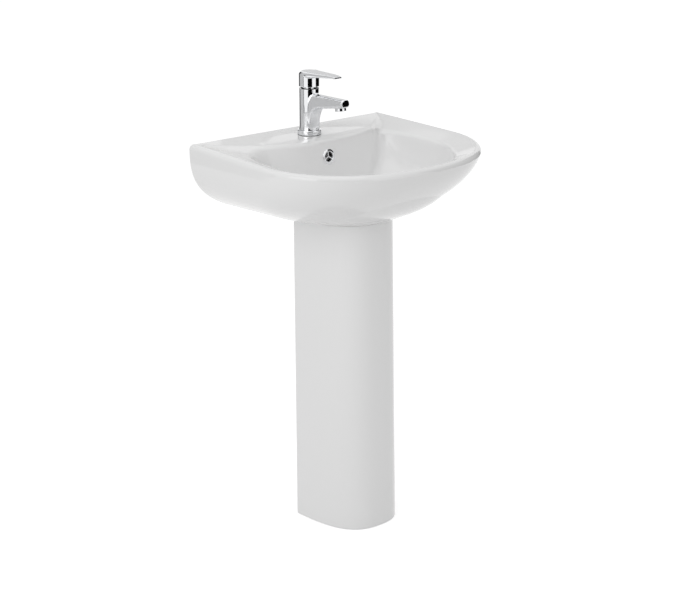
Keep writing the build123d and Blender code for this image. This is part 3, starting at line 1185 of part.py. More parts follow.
with BuildPart() as trap_cup:
    cup_ledge = TRAP_BODY_BOTTOM_Z - TRAP_CUP_SEAL
    tube(0, WASTE_Y, TRAP_BODY_R, 0, TRAP_CUP_BOTTOM_Z, cup_ledge)
    cup_step = cup_ledge - TRAP_WALL
    tube(0, WASTE_Y, TRAP_BODY_R + TRAP_WALL, 0, cup_step, cup_step + TRAP_CUP_RING)
    bore(0, WASTE_Y, TRAP_BODY_R, cup_ledge, cup_ledge + TRAP_CUP_RING)
    bore(0, WASTE_Y, TRAP_BODY_R - TRAP_WALL, TRAP_CUP_BOTTOM_Z + TRAP_WALL, cup_ledge + OVERCUT)
    fillet(trap_cup.faces().sort_by(Axis.Z)[0].edges(), TRAP_WALL)
save(trap_cup, "trap_cup")

with BuildPart() as trap_outlet_washer:
    with BuildSketch(branch):
        Circle(TRAP_OUTLET_R)
        Circle(TRAP_SOCKET_R + SLIP, mode=Mode.SUBTRACT)
    extrude(amount=TRAP_WASHER)
save(trap_outlet_washer, "trap_outlet_washer")

with BuildPart() as trap_outlet_nut:
    with BuildSketch(branch.offset(TRAP_WASHER + TRAP_WALL)):
        Circle(TRAP_OUTLET_R + TRAP_NUT_WALL)
    extrude(amount=-TRAP_NUT_HEIGHT)
    with BuildSketch(branch.offset(TRAP_WASHER)):
        Circle(TRAP_OUTLET_R)
    extrude(amount=-TRAP_NUT_HEIGHT, mode=Mode.SUBTRACT)
    with BuildSketch(branch):
        Circle(TRAP_SOCKET_R + CLEAR)
    extrude(amount=TRAP_NUT_HEIGHT, mode=Mode.SUBTRACT)
save(trap_outlet_nut, "trap_outlet_nut")
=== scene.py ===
# %% [markdown]
# # Pedestal sink
# A china basin on its pedestal, with a single-lever tap, an overflow ring and a click waste.
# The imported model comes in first. It says where each piece is and how it moves, and the
# pieces made here ride on its bodies.

import json
from math import atan, cos, pi, radians, sin

import bpy
import numpy as np
from mathutils import Matrix, Vector


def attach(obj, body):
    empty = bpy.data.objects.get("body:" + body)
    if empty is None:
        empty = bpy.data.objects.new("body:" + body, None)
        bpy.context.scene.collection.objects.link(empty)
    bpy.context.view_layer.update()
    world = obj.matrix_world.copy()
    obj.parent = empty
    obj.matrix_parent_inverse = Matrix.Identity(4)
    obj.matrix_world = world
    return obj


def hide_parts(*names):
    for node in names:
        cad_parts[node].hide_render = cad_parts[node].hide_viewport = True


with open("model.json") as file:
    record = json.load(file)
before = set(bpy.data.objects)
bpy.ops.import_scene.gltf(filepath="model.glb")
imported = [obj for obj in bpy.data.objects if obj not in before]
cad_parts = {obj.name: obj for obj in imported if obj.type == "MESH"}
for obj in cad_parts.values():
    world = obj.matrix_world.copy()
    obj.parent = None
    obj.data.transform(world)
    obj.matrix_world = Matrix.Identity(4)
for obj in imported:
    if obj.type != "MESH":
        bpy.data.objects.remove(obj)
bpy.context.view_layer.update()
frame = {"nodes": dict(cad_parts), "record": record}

# %% [markdown]
# ## Tools used all the way through
# Sizes are written in millimetres. "Out" is the distance from the wall towards the user, which
# is how a basin is drawn, so a point is (x, out, z) and only turns into metres and +Y at the end.

# %% Small tools
MM = 0.001
WALL_Y = 225.0
TAP_OUT = 70.0
WASTE_OUT = 215.0


def linear(hex_colour):
    """The colour written as sRGB hex, in the linear values a shader takes."""
    values = [int(hex_colour[i : i + 2], 16) / 255 for i in (0, 2, 4)]
    return [v / 12.92 if v <= 0.04045 else ((v + 0.055) / 1.055) ** 2.4 for v in values] + [1.0]


def add_node(material, kind, inputs=None, **settings):
    """Adds a shader node, sets its inputs and links those that are given as sockets."""
    node = material.node_tree.nodes.new(kind)
    for name, value in settings.items():
        setattr(node, name, value)
    for name, value in (inputs or {}).items():
        if isinstance(value, bpy.types.NodeSocket):
            material.node_tree.links.new(value, node.inputs[name])
        else:
            node.inputs[name].default_value = value
    return node


def mesh_object(name, vertices, faces, body, material, angle=35.0):
    """A piece from (x, out, z) points in millimetres, shaded smooth up to an angle."""
    points = np.asarray(vertices, float) * MM
    points[:, 1] = WALL_Y * MM - points[:, 1]
    mesh = bpy.data.meshes.new(name)
    mesh.from_pydata(points.tolist(), [], [list(face) for face in faces])
    mesh.update()
    piece = bpy.data.objects.new(name, mesh)
    bpy.context.scene.collection.objects.link(piece)
    piece.data.materials.append(material)
    outwards(piece)
    smooth(piece, angle)
    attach(piece, body)
    return piece


def select_only(piece):
    """Makes a piece the only one that operators act on."""
    bpy.ops.object.select_all(action="DESELECT")
    piece.select_set(True)
    bpy.context.view_layer.objects.active = piece


def outwards(piece):
    """Turns every face of a closed piece to face outwards."""
    select_only(piece)
    bpy.ops.object.mode_set(mode="EDIT")
    bpy.ops.mesh.select_all(action="SELECT")
    bpy.ops.mesh.normals_make_consistent(inside=False)
    bpy.ops.object.mode_set(mode="OBJECT")


def smooth(piece, angle):
    """Shades smooth, with a crease wherever faces meet at more than an angle."""
    select_only(piece)
    bpy.ops.object.shade_smooth_by_angle(angle=radians(angle))


def grid_faces(rows, columns, close_rows=False):
    """Quads between rows of points, each row closed on itself."""
    faces = []
    for row in range(rows if close_rows else rows - 1):
        upper = ((row + 1) % rows) * columns
        lower = row * columns
        for column in range(columns):
            after = (column + 1) % columns
            faces.append((lower + column, lower + after, upper + after, upper + column))
    return faces


def boolean(piece, other, operation):
    """Adds or takes away another closed piece, which is then deleted."""
    select_only(piece)
    modifier = piece.modifiers.new("cut", "BOOLEAN")
    modifier.operation = operation
    modifier.solver = "EXACT"
    modifier.object = other
    bpy.ops.object.modifier_apply(modifier=modifier.name)
    bpy.data.objects.remove(other, do_unlink=True)


# %% [markdown]
# ## Materials
# Vitreous china is a white clay body under a clear, very smooth glaze, so the colour is plain
# and the gloss comes from a low roughness. The glaze pools a little, which a faint, broad
# bump copies.

# %% China glaze
def glazed_china():
    """White vitreous china under a clear gloss glaze."""
    material = bpy.data.materials.new("china_glaze")
    material.use_nodes = True
    shader = material.node_tree.nodes["Principled BSDF"]
    shader.inputs["Base Color"].default_value = linear("F2F2F2")
    shader.inputs["Roughness"].default_value = 0.07
    shader.inputs["IOR"].default_value = 1.5
    place = add_node(material, "ShaderNodeTexCoord")
    waves = add_node(
        material,
        "ShaderNodeTexNoise",
        {"Vector": place.outputs["Object"], "Scale": 18.0, "Detail": 1.0},
    )
    bump = add_node(
        material,
        "ShaderNodeBump",
        {"Height": waves.outputs["Fac"], "Strength": 0.06, "Distance": 0.002},
    )
    material.node_tree.links.new(bump.outputs["Normal"], shader.inputs["Normal"])
    return material


china = glazed_china()
print("china glaze:", len(china.node_tree.nodes), "shader nodes")


# %% [markdown]
# Chrome plate is nearly a mirror. The other materials are plain ones, each with the roughness
# of its trade: moulded plastic, machined brass, zinc plated steel and rubber.

# %% Metals, rubber and plastics
def plain(name, hex_colour, roughness, metallic=0.0):
    """One even material."""
    material = bpy.data.materials.new(name)
    material.use_nodes = True
    shader = material.node_tree.nodes["Principled BSDF"]
    shader.inputs["Base Color"].default_value = linear(hex_colour)
    shader.inputs["Roughness"].default_value = roughness
    shader.inputs["Metallic"].default_value = metallic
    return material


chrome = plain("chrome_plate", "EDEEF0", 0.04, 1.0)
finishes = {
    "china": china,
    "chrome": chrome,
    "silicone": plain("white_silicone", "EDEDEB", 0.45),
    "rubber": plain("black_rubber", "1C1C1C", 0.7),
    "steel": plain("zinc_plated_steel", "B8BABB", 0.32, 1.0),
    "brass": plain("machined_brass", "D9B56A", 0.28, 1.0),
    "technical_ceramic": plain("lapped_ceramic", "EEEAE2", 0.3),
    "plastic": plain("grey_plastic", "C6C8C8", 0.42),
    "trap_plastic": plain("white_trap_plastic", "F0F0EE", 0.25),
}
for row in frame["record"]["subparts"]:
    node = frame["nodes"][row["node"]]
    node.data.materials.clear()
    node.data.materials.append(finishes[row["material_slot"]])
print(len(finishes), "materials")

# %% [markdown]
# ## Basin
# A basin is slip-cast in a plaster mould: one continuous skin that runs from the waste hole up
# the bowl, over the lip, across the dished rim and deck, down the outside and back up inside.
# Modelling tools such as extrude and bevel would leave pinches where the deck, the rim and
# the bowl's corner meet. A grid with the same columns in every ring follows all of them, so
# the skin is worked out ring by ring and closes on itself like a ring doughnut. In the names
# below a half is a half width, and a reach or a back is a distance out from the wall.

# %% Basin: the curves it follows
WIDTH_HALF = 275.0
WALL_HALF = 272.0
REACH = 452.0
HEIGHT = 850.0
TILT = 14.5 / 450.0
DISH = 15.0
CHINA = 9.0
PAD_Z = 846.5

FOOT_HALF = 92.0
FOOT_REACH = 295.0
FOOT_Z = 680.7
FOOT_TILT = 6.0 / 170.0

BOWL_HALF, BOWL_REACH, BOWL_BACK = 213.0, 408.0, 129.0
FLOOR_HALF, FLOOR_REACH, FLOOR_BACK = 95.0, 300.0, 165.0
FLOOR_Z = 710.0
BOWL_CORNER = 176.0
BOWL_WIDEST = 235.0
BOWL_BOW = 32.0
BOW_POWER = 2.5
HULL_WIDEST = 250.0
DECK_HALF = 250.0

FINE = 400
BACK = 28
RISER = 12
SIDE = 34
FRONT = 46
SHARES = {
    "back": 1 - (1 - np.linspace(0, 1, BACK + 1)) ** 1.25,
    "riser": np.linspace(0, 1, RISER + 1),
    "side": np.linspace(0, 1, SIDE + 1) ** 1.25,
    "front": np.linspace(0, 1, FRONT + 1),
}


def fall(share, powers):
    """From 1 at the top to 0 at the bottom, slow at first and then ever steeper."""
    return (1 - min(share, 1.0) ** powers[0]) ** (1 / powers[1])


def spread(points, shares):
    """Points at the given shares of the length of a line."""
    line = np.asarray(points, float)
    run = np.concatenate([[0], np.cumsum(np.linalg.norm(np.diff(line, axis=0), axis=1))])
    return np.stack([np.interp(np.asarray(shares) * run[-1], run, axis) for axis in line.T], 1)


def joined(back, riser, side, front):
    """One half ring of columns from its four lengths, each given as a line of points."""
    parts = [
        spread(back, SHARES["back"]),
        spread(riser, SHARES["riser"])[1:],
        spread(side, SHARES["side"])[1:],
        spread(front, SHARES["front"])[1:],
    ]
    return np.concatenate(parts)


def front_curve(half, reach, start, powers):
    """From the widest place round to the middle of the front; powers of 2 give an ellipse."""
    turn = np.linspace(0, pi / 2, FINE)
    x = half * np.cos(turn) ** (2 / powers[0])
    out = start + (reach - start) * np.sin(turn) ** (2 / powers[1])
    x[-1] = 0.0
    return np.stack([x, out], 1)


def bowl_ring(share, grow=0.0):
    """The bowl's outline at a share of its depth: bowed back, tight corner, side and front."""
    half = FLOOR_HALF + (BOWL_HALF - FLOOR_HALF) * fall(share, (3.0, 1.6)) + grow
    reach = FLOOR_REACH + (BOWL_REACH - FLOOR_REACH) * fall(share, (2.2, 1.5)) + grow
    back = FLOOR_BACK - (FLOOR_BACK - BOWL_BACK) * fall(share, (1.6, 1.3)) - grow
    bow = BOWL_BOW * (1 - share)
    corner = half * (BOWL_CORNER / BOWL_HALF - 0.28 * share**1.8)
    corner_out = back - bow
    wide, deep = half - corner, BOWL_WIDEST - corner_out
    lean = atan(-bow * BOW_POWER / corner * wide / deep)
    corner_x = corner + wide * sin(lean)
    corner_y = corner_out + deep * (1 - cos(lean))
    x = np.linspace(0, corner_x, FINE)
    wall = np.stack([x, back - (back - corner_y) * (x / corner_x) ** BOW_POWER], 1)
    deck_end = int(FINE * 0.86)
    turn = np.linspace(lean, pi / 2, 300)
    side = np.stack([corner + wide * np.sin(turn), corner_out + deep * (1 - np.cos(turn))], 1)
    front = front_curve(half, reach, BOWL_WIDEST, (2.3, 2.0))
    return joined(wall[:deck_end], wall[deck_end - 1 :], side, front)


def hull_ring(share, inset=0.0, back_out=0.0):
    """The outside at a share of the way down: flat to the wall, then the sides and front."""
    side = fall(share, (3.2, 1.2))
    front = fall(share, (1.45, 1.27))
    half = FOOT_HALF + (WIDTH_HALF - FOOT_HALF) * side - inset
    wall_half = FOOT_HALF + (WALL_HALF - FOOT_HALF) * side - inset
    reach = FOOT_REACH + (REACH - FOOT_REACH) * front - inset
    start = HULL_WIDEST * (0.62 + 0.38 * front)
    run = np.linspace(0, 1, 200)
    sides = np.stack([wall_half + (half - wall_half) * (1 - (1 - run) ** 2), start * run], 1)
    sides[:, 1] = np.maximum(sides[:, 1], back_out)
    edge = wall_half * DECK_HALF / WALL_HALF
    return joined(
        [(0, back_out), (edge, back_out)],
        [(edge, back_out), (wall_half, back_out)],
        sides,
        front_curve(half, reach, start, (2.5, 1.8)),
    )


def with_height(ring, height):
    """A ring of (x, out) points raised to a height, or to one for each point."""
    return np.column_stack([ring, np.broadcast_to(height, len(ring))])


def hull_height(ring, share, inset=0.0):
    """How high the outside is: it leans with the rim at the top and with the seat below."""
    tilt = TILT * (1 - share) - FOOT_TILT * share
    return HEIGHT + (FOOT_Z - HEIGHT) * share + inset * share**2 - tilt * ring[:, 1]


def bowl_height(share, top):
    """How high the bowl's wall is at a share of its depth."""
    return top + (FLOOR_Z - top) * share


# %% [markdown]
# The deck is a flat shelf for the tap. Round the tap it is a shallow, level pad that slopes a
# little towards the bowl. The rim beside it is dished, and a soft step joins the two.

# %% Basin: the top surface
def ease(value):
    """From 0 to 1 with a gentle start and end."""
    value = np.clip(value, 0, 1)
    return value * value * (3 - 2 * value)


PAD_BACK, PAD_FRONT = 22.0, 92.0
PAD_FALL = 4.5
PAD_STEP = 12.0
PAD_OUTS = (28, 70, 98, 130)
PAD_HALVES = (81, 138, 152, 156)


def deck_height(x, out):
    """The deck and its pad: level round the tap, then falling to the bowl's back edge."""
    plane = HEIGHT - TILT * out
    pad = PAD_Z - PAD_FALL * ease((out - PAD_FRONT) / 40) * (out - PAD_FRONT).clip(0) / 36
    border = np.interp(out, PAD_OUTS, PAD_HALVES)
    inside = ease((out - PAD_BACK) / PAD_STEP) * ease((border - x + 5) / PAD_STEP)
    return plane * (1 - inside) + pad * inside


def along(points, share):
    """The point at a share of the length of a line."""
    return spread(points, [share])[0]


RISER_TOP = [(148, 107.6), (152, 99), (164, 86), (200, 58), (232, 27), (247, 8), (250, 1.5)]
RISER_FOOT = [(171.4, 97.9), (189, 92), (214, 74), (236, 50), (250, 24), (258, 8), (260, 0)]
LIP = bowl_ring(0.0)
EDGE_ROUND = 10.0
EDGE_BACK = 1.5
EDGE_SHARE = 0.059
BELOW_EDGE = 0.941
EDGE = hull_ring(EDGE_SHARE, inset=EDGE_ROUND + 2.0)
print("half a ring has", len(LIP), "columns")


def top_ring(share):
    """Points across the top, from the bowl's edge (0) to the rim's outer edge (1)."""
    high, low = along(RISER_TOP, share), along(RISER_FOOT, share)
    middle = LIP[0, 1] + (EDGE_BACK - LIP[0, 1]) * share**1.63
    run = LIP[: BACK + 1, 0] / LIP[BACK, 0]
    weight = run**BOW_POWER
    back = np.stack([high[0] * run, middle * (1 - weight) + high[1] * weight], 1)
    mix = SHARES["riser"][1:, None]
    riser = high * (1 - mix) + low * mix
    first = BACK + RISER + 1
    rest = LIP[first:] * (1 - share) + EDGE[first:] * share
    bend = low - (LIP[first - 1] * (1 - share) + EDGE[first - 1] * share)
    rest[:SIDE] += bend * np.exp(-SHARES["side"][1:, None] / 0.12)
    ring = np.concatenate([back, riser, rest])
    deck = deck_height(ring[:, 0], ring[:, 1])
    dish = HEIGHT - TILT * ring[:, 1] - DISH * (1 - share) ** 1.1
    step = np.ones(len(ring))
    step[: BACK + 1] = 0
    step[BACK + 1 : first] = ease(SHARES["riser"][1:])
    return with_height(ring, deck * (1 - step) + dish * step)


def edge_ring(turn):
    """The rim's round: 10 mm along the sides and front, and a small one at the wall."""
    inset = EDGE_ROUND * (1 - sin(turn))
    ring = hull_ring(EDGE_SHARE, inset=inset)
    drop = np.full(len(ring), EDGE_ROUND * (1 - cos(turn)))
    back = EDGE_BACK * (1 - cos(turn)) + (EDGE_ROUND - EDGE_BACK) * turn / (pi / 2)
    first = BACK + RISER + 1
    drop[: BACK + 1] = back
    mix = SHARES["riser"][1:]
    drop[BACK + 1 : first] = back * (1 - mix) + drop[-1] * mix
    ring[: BACK + 1, 1] = EDGE_BACK * (1 - sin(turn))
    ring[BACK + 1 : first, 1] = EDGE_BACK * (1 - sin(turn)) * (1 - mix)
    ring[: BACK + 1, 0] = DECK_HALF * LIP[: BACK + 1, 0] / LIP[BACK, 0]
    ring[BACK + 1 : first, 0] = DECK_HALF * (1 - mix) + (WALL_HALF - inset) * mix
    return with_height(ring, HEIGHT - TILT * ring[:, 1] - drop)


def circle_ring(radius, height):
    """A ring round the waste hole whose columns point the same way as the bowl's."""
    floor = bowl_ring(1.0)
    turn = np.arctan2(floor[:, 1] - WASTE_OUT, floor[:, 0])
    turn[0], turn[-1] = -pi / 2, pi / 2
    ring = np.stack([radius * np.cos(turn), WASTE_OUT + radius * np.sin(turn)], 1)
    ring[[0, -1], 0] = 0
    return with_height(ring, height)


# %% [markdown]
# The rings are listed in the order the skin runs, and mirrored to the left half.

# %% Basin: the rings, and the skin through them
WASTE_R = 22.5
RECESS_R, RECESS_Z = 32.5, 703.5
BOSS_R, BOSS_Z = 40.0, 690.0
UNDER_FLOOR_Z = 701.0
SHOULDER = 0.16


def bezier(first, corner, last, steps):
    """Rings that round a corner between two rings."""
    return [
        first * (1 - t) ** 2 + corner * 2 * t * (1 - t) + last * t**2
        for t in np.linspace(0, 1, steps + 1)[1:-1]
    ]


def basin_rings():
    """The right half of every ring, from the waste hole round and back to it."""
    rings = [
        circle_ring(WASTE_R, RECESS_Z),
        circle_ring(RECESS_R, RECESS_Z),
        circle_ring(RECESS_R, 706.0),
        circle_ring(34.0, 706.4),
        circle_ring(47.0, 709.7),
    ]
    floor = with_height(bowl_ring(1.0), FLOOR_Z)
    cone = circle_ring(50.0, FLOOR_Z)
    rings += [cone * (1 - t) + floor * t for t in (0.0, 0.25, 0.5, 0.75, 0.93)]
    lip = top_ring(0.0)
    top = lip[:, 2]
    for share in 1 - np.linspace(0, 1, 34) ** 1.4 * (1 - 0.056):
        ring = bowl_ring(share)
        rings.append(with_height(ring, bowl_height(share, top)))
    rings += bezier(rings[-1], lip, top_ring(SHOULDER), 9)
    rings += [top_ring(share) for share in np.linspace(SHOULDER, 1.0, 36)]
    rings += [edge_ring(turn) for turn in np.linspace(0, pi / 2, 10)]
    for share in EDGE_SHARE + BELOW_EDGE * (1 - (1 - np.linspace(0, 1, 38)[1:]) ** 1.4):
        ring = hull_ring(share)
        rings.append(with_height(ring, hull_height(ring, share)))
    inner = hull_ring(1.0, inset=CHINA, back_out=CHINA)
    rings.append(with_height(inner, hull_height(inner, 1.0)))
    for share in np.linspace(1.0, 0.145, 14):
        ring = hull_ring(share, inset=CHINA, back_out=CHINA)
        rings.append(with_height(ring, hull_height(ring, share, CHINA)))
    under = HEIGHT - DISH - CHINA
    for share in np.linspace(0.08, 1.0, 14):
        ring = bowl_ring(share, CHINA)
        drop = (UNDER_FLOOR_Z - under) * (share - 0.08) / 0.92
        rings.append(with_height(ring, under + drop - TILT * (1 - share) * ring[:, 1]))
    rings += [circle_ring(BOSS_R, UNDER_FLOOR_Z), circle_ring(BOSS_R, BOSS_Z)]
    return rings + [circle_ring(WASTE_R, BOSS_Z)]


def closed_ring(half):
    """The whole ring from its right half."""
    left = half[-2:0:-1].copy()
    left[:, 0] *= -1
    return np.concatenate([half, left])


rings = [closed_ring(ring) for ring in basin_rings()]
columns = len(rings[0])
basin = mesh_object(
    "basin_china",
    np.concatenate(rings),
    grid_faces(len(rings), columns, close_rows=True),
    "sink",
    china,
)
print("basin skin:", len(rings), "rings of", columns, "columns")

# %% [markdown]
# The openings are cut after the skin is closed, as they are in the soft clay: the overflow
# and its duct, the tap hole, the waste hole, the bolt holes and the pipe window. The duct's
# casing and the bolts' bosses are joined on first, so that the cuts go through them too.

# %% Basin: openings and duct
def cylinder(radius, depth, place, turn=(0, 0, 0)):
    """A closed cutter, placed by its middle as (x, out, z) in millimetres."""
    bpy.ops.mesh.primitive_cylinder_add(
        vertices=96,
        radius=radius * MM,
        depth=depth * MM,
        location=(place[0] * MM, (WALL_Y - place[1]) * MM, place[2] * MM),
        rotation=turn,
    )
    return bpy.context.object


def box(x_half, outs, heights):
    """A closed box from -x_half to x_half, between two distances out and two heights."""
    bpy.ops.mesh.primitive_cube_add(
        size=1,
        location=(0, (WALL_Y - sum(outs) / 2) * MM, sum(heights) / 2 * MM),
        scale=(2 * x_half * MM, abs(outs[1] - outs[0]) * MM, abs(heights[1] - heights[0]) * MM),
    )
    return bpy.context.object


def slab(outline, half):
    """A closed slab with an (out, z) outline, as thick on each side of x = 0."""
    count = len(outline)
    points = [(side * half, out, z) for side in (-1, 1) for out, z in outline]
    faces = [tuple(range(count)), tuple(range(2 * count - 1, count - 1, -1))]
    faces += [(i, (i + 1) % count, count + (i + 1) % count, count + i) for i in range(count)]
    piece = mesh_object("cutter", points, faces, "sink", china)
    piece.parent = None
    return piece


OVERFLOW_LEAN = radians(8)
OVERFLOW_R, OVERFLOW_Z = 12.0, 807.0
DUCT_HALF = 14.0
TAP_HOLE_R = 17.5
BOLT_X, BOLT_Z, BOLT_R, BOLT_BOSS_R = 140.0, 780.0, 7.0, 24.0
WINDOW_HALF, WINDOW_TOP = 78.0, 790

down_the_bowl = np.linspace(0.1, 0.94, 12)
wall_front = [(bowl_ring(share)[0, 1] - 4.5, 842.0 - 132.0 * share) for share in down_the_bowl]
under_floor = [(215, 702.5), (182, 702.5), (166, 706), (160, 709.5)]
casing = [(100, 829), (100, 712), (128, 690), (215, 690)] + under_floor + wall_front[::-1]
boolean(basin, slab(casing, DUCT_HALF + CHINA), "UNION")
for side in (-1, 1):
    boss = cylinder(BOLT_BOSS_R, 19.0, (side * BOLT_X, 13.0, BOLT_Z), (pi / 2, 0, 0))
    boolean(basin, boss, "UNION")
duct = [(109, 820), (109, 717), (137, 694), (213, 694)]
duct += [(213, 699), (148, 699), (120, 722), (120, 820)]
boolean(basin, slab(duct, DUCT_HALF), "DIFFERENCE")
hole = cylinder(OVERFLOW_R, 24.0, (0, 130.0, OVERFLOW_Z), (pi / 2 - OVERFLOW_LEAN, 0, 0))
boolean(basin, hole, "DIFFERENCE")
boolean(basin, cylinder(TAP_HOLE_R, 60.0, (0, TAP_OUT, PAD_Z)), "DIFFERENCE")
boolean(basin, cylinder(WASTE_R, 30.0, (0, WASTE_OUT, 697.0)), "DIFFERENCE")
for side in (-1, 1):
    boolean(basin, cylinder(BOLT_R, 80.0, (side * BOLT_X, 0, BOLT_Z), (pi / 2, 0, 0)), "DIFFERENCE")
boolean(basin, box(WINDOW_HALF, (-20, 18), (650, WINDOW_TOP)), "DIFFERENCE")
smooth(basin, 35)
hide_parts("basin")
print("basin:", len(basin.data.polygons), "faces")

# %% [markdown]
# ## Pedestal
# The column is a wall with an open back, so its plan is a C. A loop that goes up the outside,
# over the top and down the inside is swept along that C, and the two ends are capped. That
# gives one closed skin whose wall is the same thickness all round. The thin bead of white
# silicone that beds the basin is a smaller loop, swept along the same C.

# %% Pedestal plan
PEDESTAL_TOP = 688.0
PEDESTAL_WALL = 9.5
FLANGE = 12.0
BASE_HALF, BASE_BACK, BASE_FRONT = 96.3, 129.0, 304.0
TAPER_HALF, TAPER_BACK, TAPER_FRONT = 4.3, 8.0, 13.0
PLAN_POWERS = (2.65, 3.1)
PLAN_STEPS = 44
PEDESTAL_CORNER = 4.0
ROUNDING = 4.0
SEAT_BACK_Z = 685.0
BED = 2.0
COURSES = (40, 120, 230, 340, 450, 560, 650)


def pedestal_size(height):
    """Half width, back and front at a height, from the foot to the basin's seat."""
    share = height / PEDESTAL_TOP
    back = BASE_BACK - TAPER_BACK * share
    return BASE_HALF - TAPER_HALF * share, back, BASE_FRONT - TAPER_FRONT * share


def c_path(height, inset):
    """Half of the C, from the end of its flange round to the middle of the front."""
    half, back, front = pedestal_size(height)
    half, front, back = half - inset, front - inset, back + inset
    tip = BASE_HALF - PEDESTAL_WALL - FLANGE - TAPER_HALF * height / PEDESTAL_TOP
    bend = max(PEDESTAL_CORNER - inset, 0.6)
    path = [(tip + share * (half - bend - tip), back) for share in (0.0, 0.3, 0.7)]
    for angle in (0, 22, 45, 68, 90):
        turn = radians(angle)
        path.append((half - bend + bend * sin(turn), back + bend - bend * cos(turn)))
    for step in range(1, PLAN_STEPS + 1):
        turn = pi / 2 * step / PLAN_STEPS
        x = half * cos(turn) ** (2 / PLAN_POWERS[0])
        out = back + bend + (front - back - bend) * sin(turn) ** (2 / PLAN_POWERS[1])
        path.append((x if step < PLAN_STEPS else 0.0, out))
    return path


def wall_point(height, point, above_seat):
    """A point of the wall; a height above the seat follows the seat's lean."""
    x, out = point
    if above_seat is None:
        return (x, out, height)
    seat = SEAT_BACK_Z - BED - FOOT_TILT * (BASE_BACK - TAPER_BACK - out)
    return (x, out, seat + above_seat)


def swept_wall(loop):
    """Points and faces of a closed loop of (height, inset, above the seat) swept along the C."""
    rows = []
    for height, inset, above_seat in loop:
        half_path = [wall_point(height, point, above_seat) for point in c_path(height, inset)]
        rows.append(half_path + [(-x, out, z) for x, out, z in reversed(half_path[:-1])])
    columns = len(rows[0])
    faces = [
        (a * columns + c, a * columns + c + 1, b * columns + c + 1, b * columns + c)
        for a, b in ((r, (r + 1) % len(rows)) for r in range(len(rows)))
        for c in range(columns - 1)
    ]
    for end in (0, columns - 1):
        faces.append([row * columns + end for row in range(len(rows))])
    return [p for row in rows for p in row], faces


def pedestal_loop():
    """Up the outside, over the top and down the inside."""
    turns = [radians(angle) for angle in (90, 67, 45, 22, 0)]
    outside = [(ROUNDING * (1 - sin(t)), ROUNDING * (1 - cos(t)), None) for t in turns]
    outside += [(height, 0.0, None) for height in COURSES]
    top = [(PEDESTAL_TOP, 0.0, 0.0), (PEDESTAL_TOP, PEDESTAL_WALL, 0.0)]
    inside = [(height, PEDESTAL_WALL, None) for height in COURSES[::-1] + (0,)]
    return outside + top + inside


print("half of the C has", len(c_path(0.0, 0.0)), "points")

# %% Pedestal
LUG_X, LUG_HALF, LUG_Z = 70.8, 20.8, 12.0
SCREW_X, SCREW_OUT, SCREW_R = 67.0, 156.0, 4.0

pedestal = mesh_object("pedestal_china", *swept_wall(pedestal_loop()), "sink", china)
for side in (-1, 1):
    lug = box(LUG_HALF, (SCREW_OUT - 17.0, SCREW_OUT + 17.0), (0, LUG_Z))
    lug.location.x = side * LUG_X * MM
    boolean(pedestal, lug, "UNION")
    screw_hole = cylinder(SCREW_R, 40.0, (side * SCREW_X, SCREW_OUT, LUG_Z / 2))
    boolean(pedestal, screw_hole, "DIFFERENCE")
edge_round = pedestal.modifiers.new("fired_edges", "BEVEL")
edge_round.width = 0.0015
edge_round.segments = 2
edge_round.limit_method = "ANGLE"
edge_round.angle_limit = radians(50)
smooth(pedestal, 35)
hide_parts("pedestal")
print("pedestal:", len(pedestal.data.polygons), "faces")

# %% Bedding bead
bead_edge, bead_back = 0.4, PEDESTAL_WALL - 1.5
bead = [(bead_edge, 0.0), (bead_edge, BED), (bead_back, BED), (bead_back, 0.0)]
bed = [(PEDESTAL_TOP, inset, above_seat) for inset, above_seat in bead]
bedding = mesh_object("bedding_bead", *swept_wall(bed), "sink", finishes["silicone"])
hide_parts("bedding_strip")
print("bedding:", len(bedding.data.polygons), "faces")

# %% [markdown]
# ## Tap: the two castings
# A tap body and its lever are cast brass, polished and plated, so their parts flow into each
# other. Blocks joined by booleans would leave hard seams there. Instead each casting is
# written as a distance: how far a point is from the metal, joined softly where the real
# casting has a fillet. A skin of small quads is then laid where that distance is zero.

# %% Laying a skin on a distance field
def soft_join(a, b, width):
    """Joins two distances, with a fillet about as wide as given."""
    blend = np.clip(0.5 + 0.5 * (b - a) / width, 0, 1)
    return b + (a - b) * blend - width * blend * (1 - blend)


def soft_cut(a, b, width):
    """Keeps what is inside both, with the edge between them rounded."""
    return -soft_join(-a, -b, width)


def without(a, *holes):
    """Takes holes out of a casting."""
    for hole in holes:
        a = np.maximum(a, -hole)
    return a


def rounded_bar(u, v, half_u, half_v, radius):
    """Distance from a bar's section with rounded corners."""
    du, dv = np.abs(u) - half_u + radius, np.abs(v) - half_v + radius
    beyond = np.hypot(np.maximum(du, 0), np.maximum(dv, 0))
    return beyond + np.minimum(np.maximum(du, dv), 0) - radius


def upright_bore(x, f, z, middle, radius, bottom, top):
    """Distance from an upright round hole; f is the distance out from the tap's axis."""
    across = np.hypot(x - middle[0], f - middle[1]) - radius
    return np.maximum(across, np.maximum(bottom - z, z - top))


def slope_of(distance, points, reach=0.05):
    """Which way, and how fast, the distance grows at each point."""
    rise = [distance(*(points + s).T) - distance(*(points - s).T) for s in np.eye(3) * reach]
    return np.stack([change / (2 * reach) for change in rise], 1)


def settle(distance, points):
    """Moves points on to the surface."""
    for _ in range(3):
        slope = slope_of(distance, points)
        steep = np.maximum((slope**2).sum(1), 0.25)
        move = (distance(*points.T) / steep)[:, None] * slope
        points = points - np.clip(move, -0.6, 0.6)
    return points


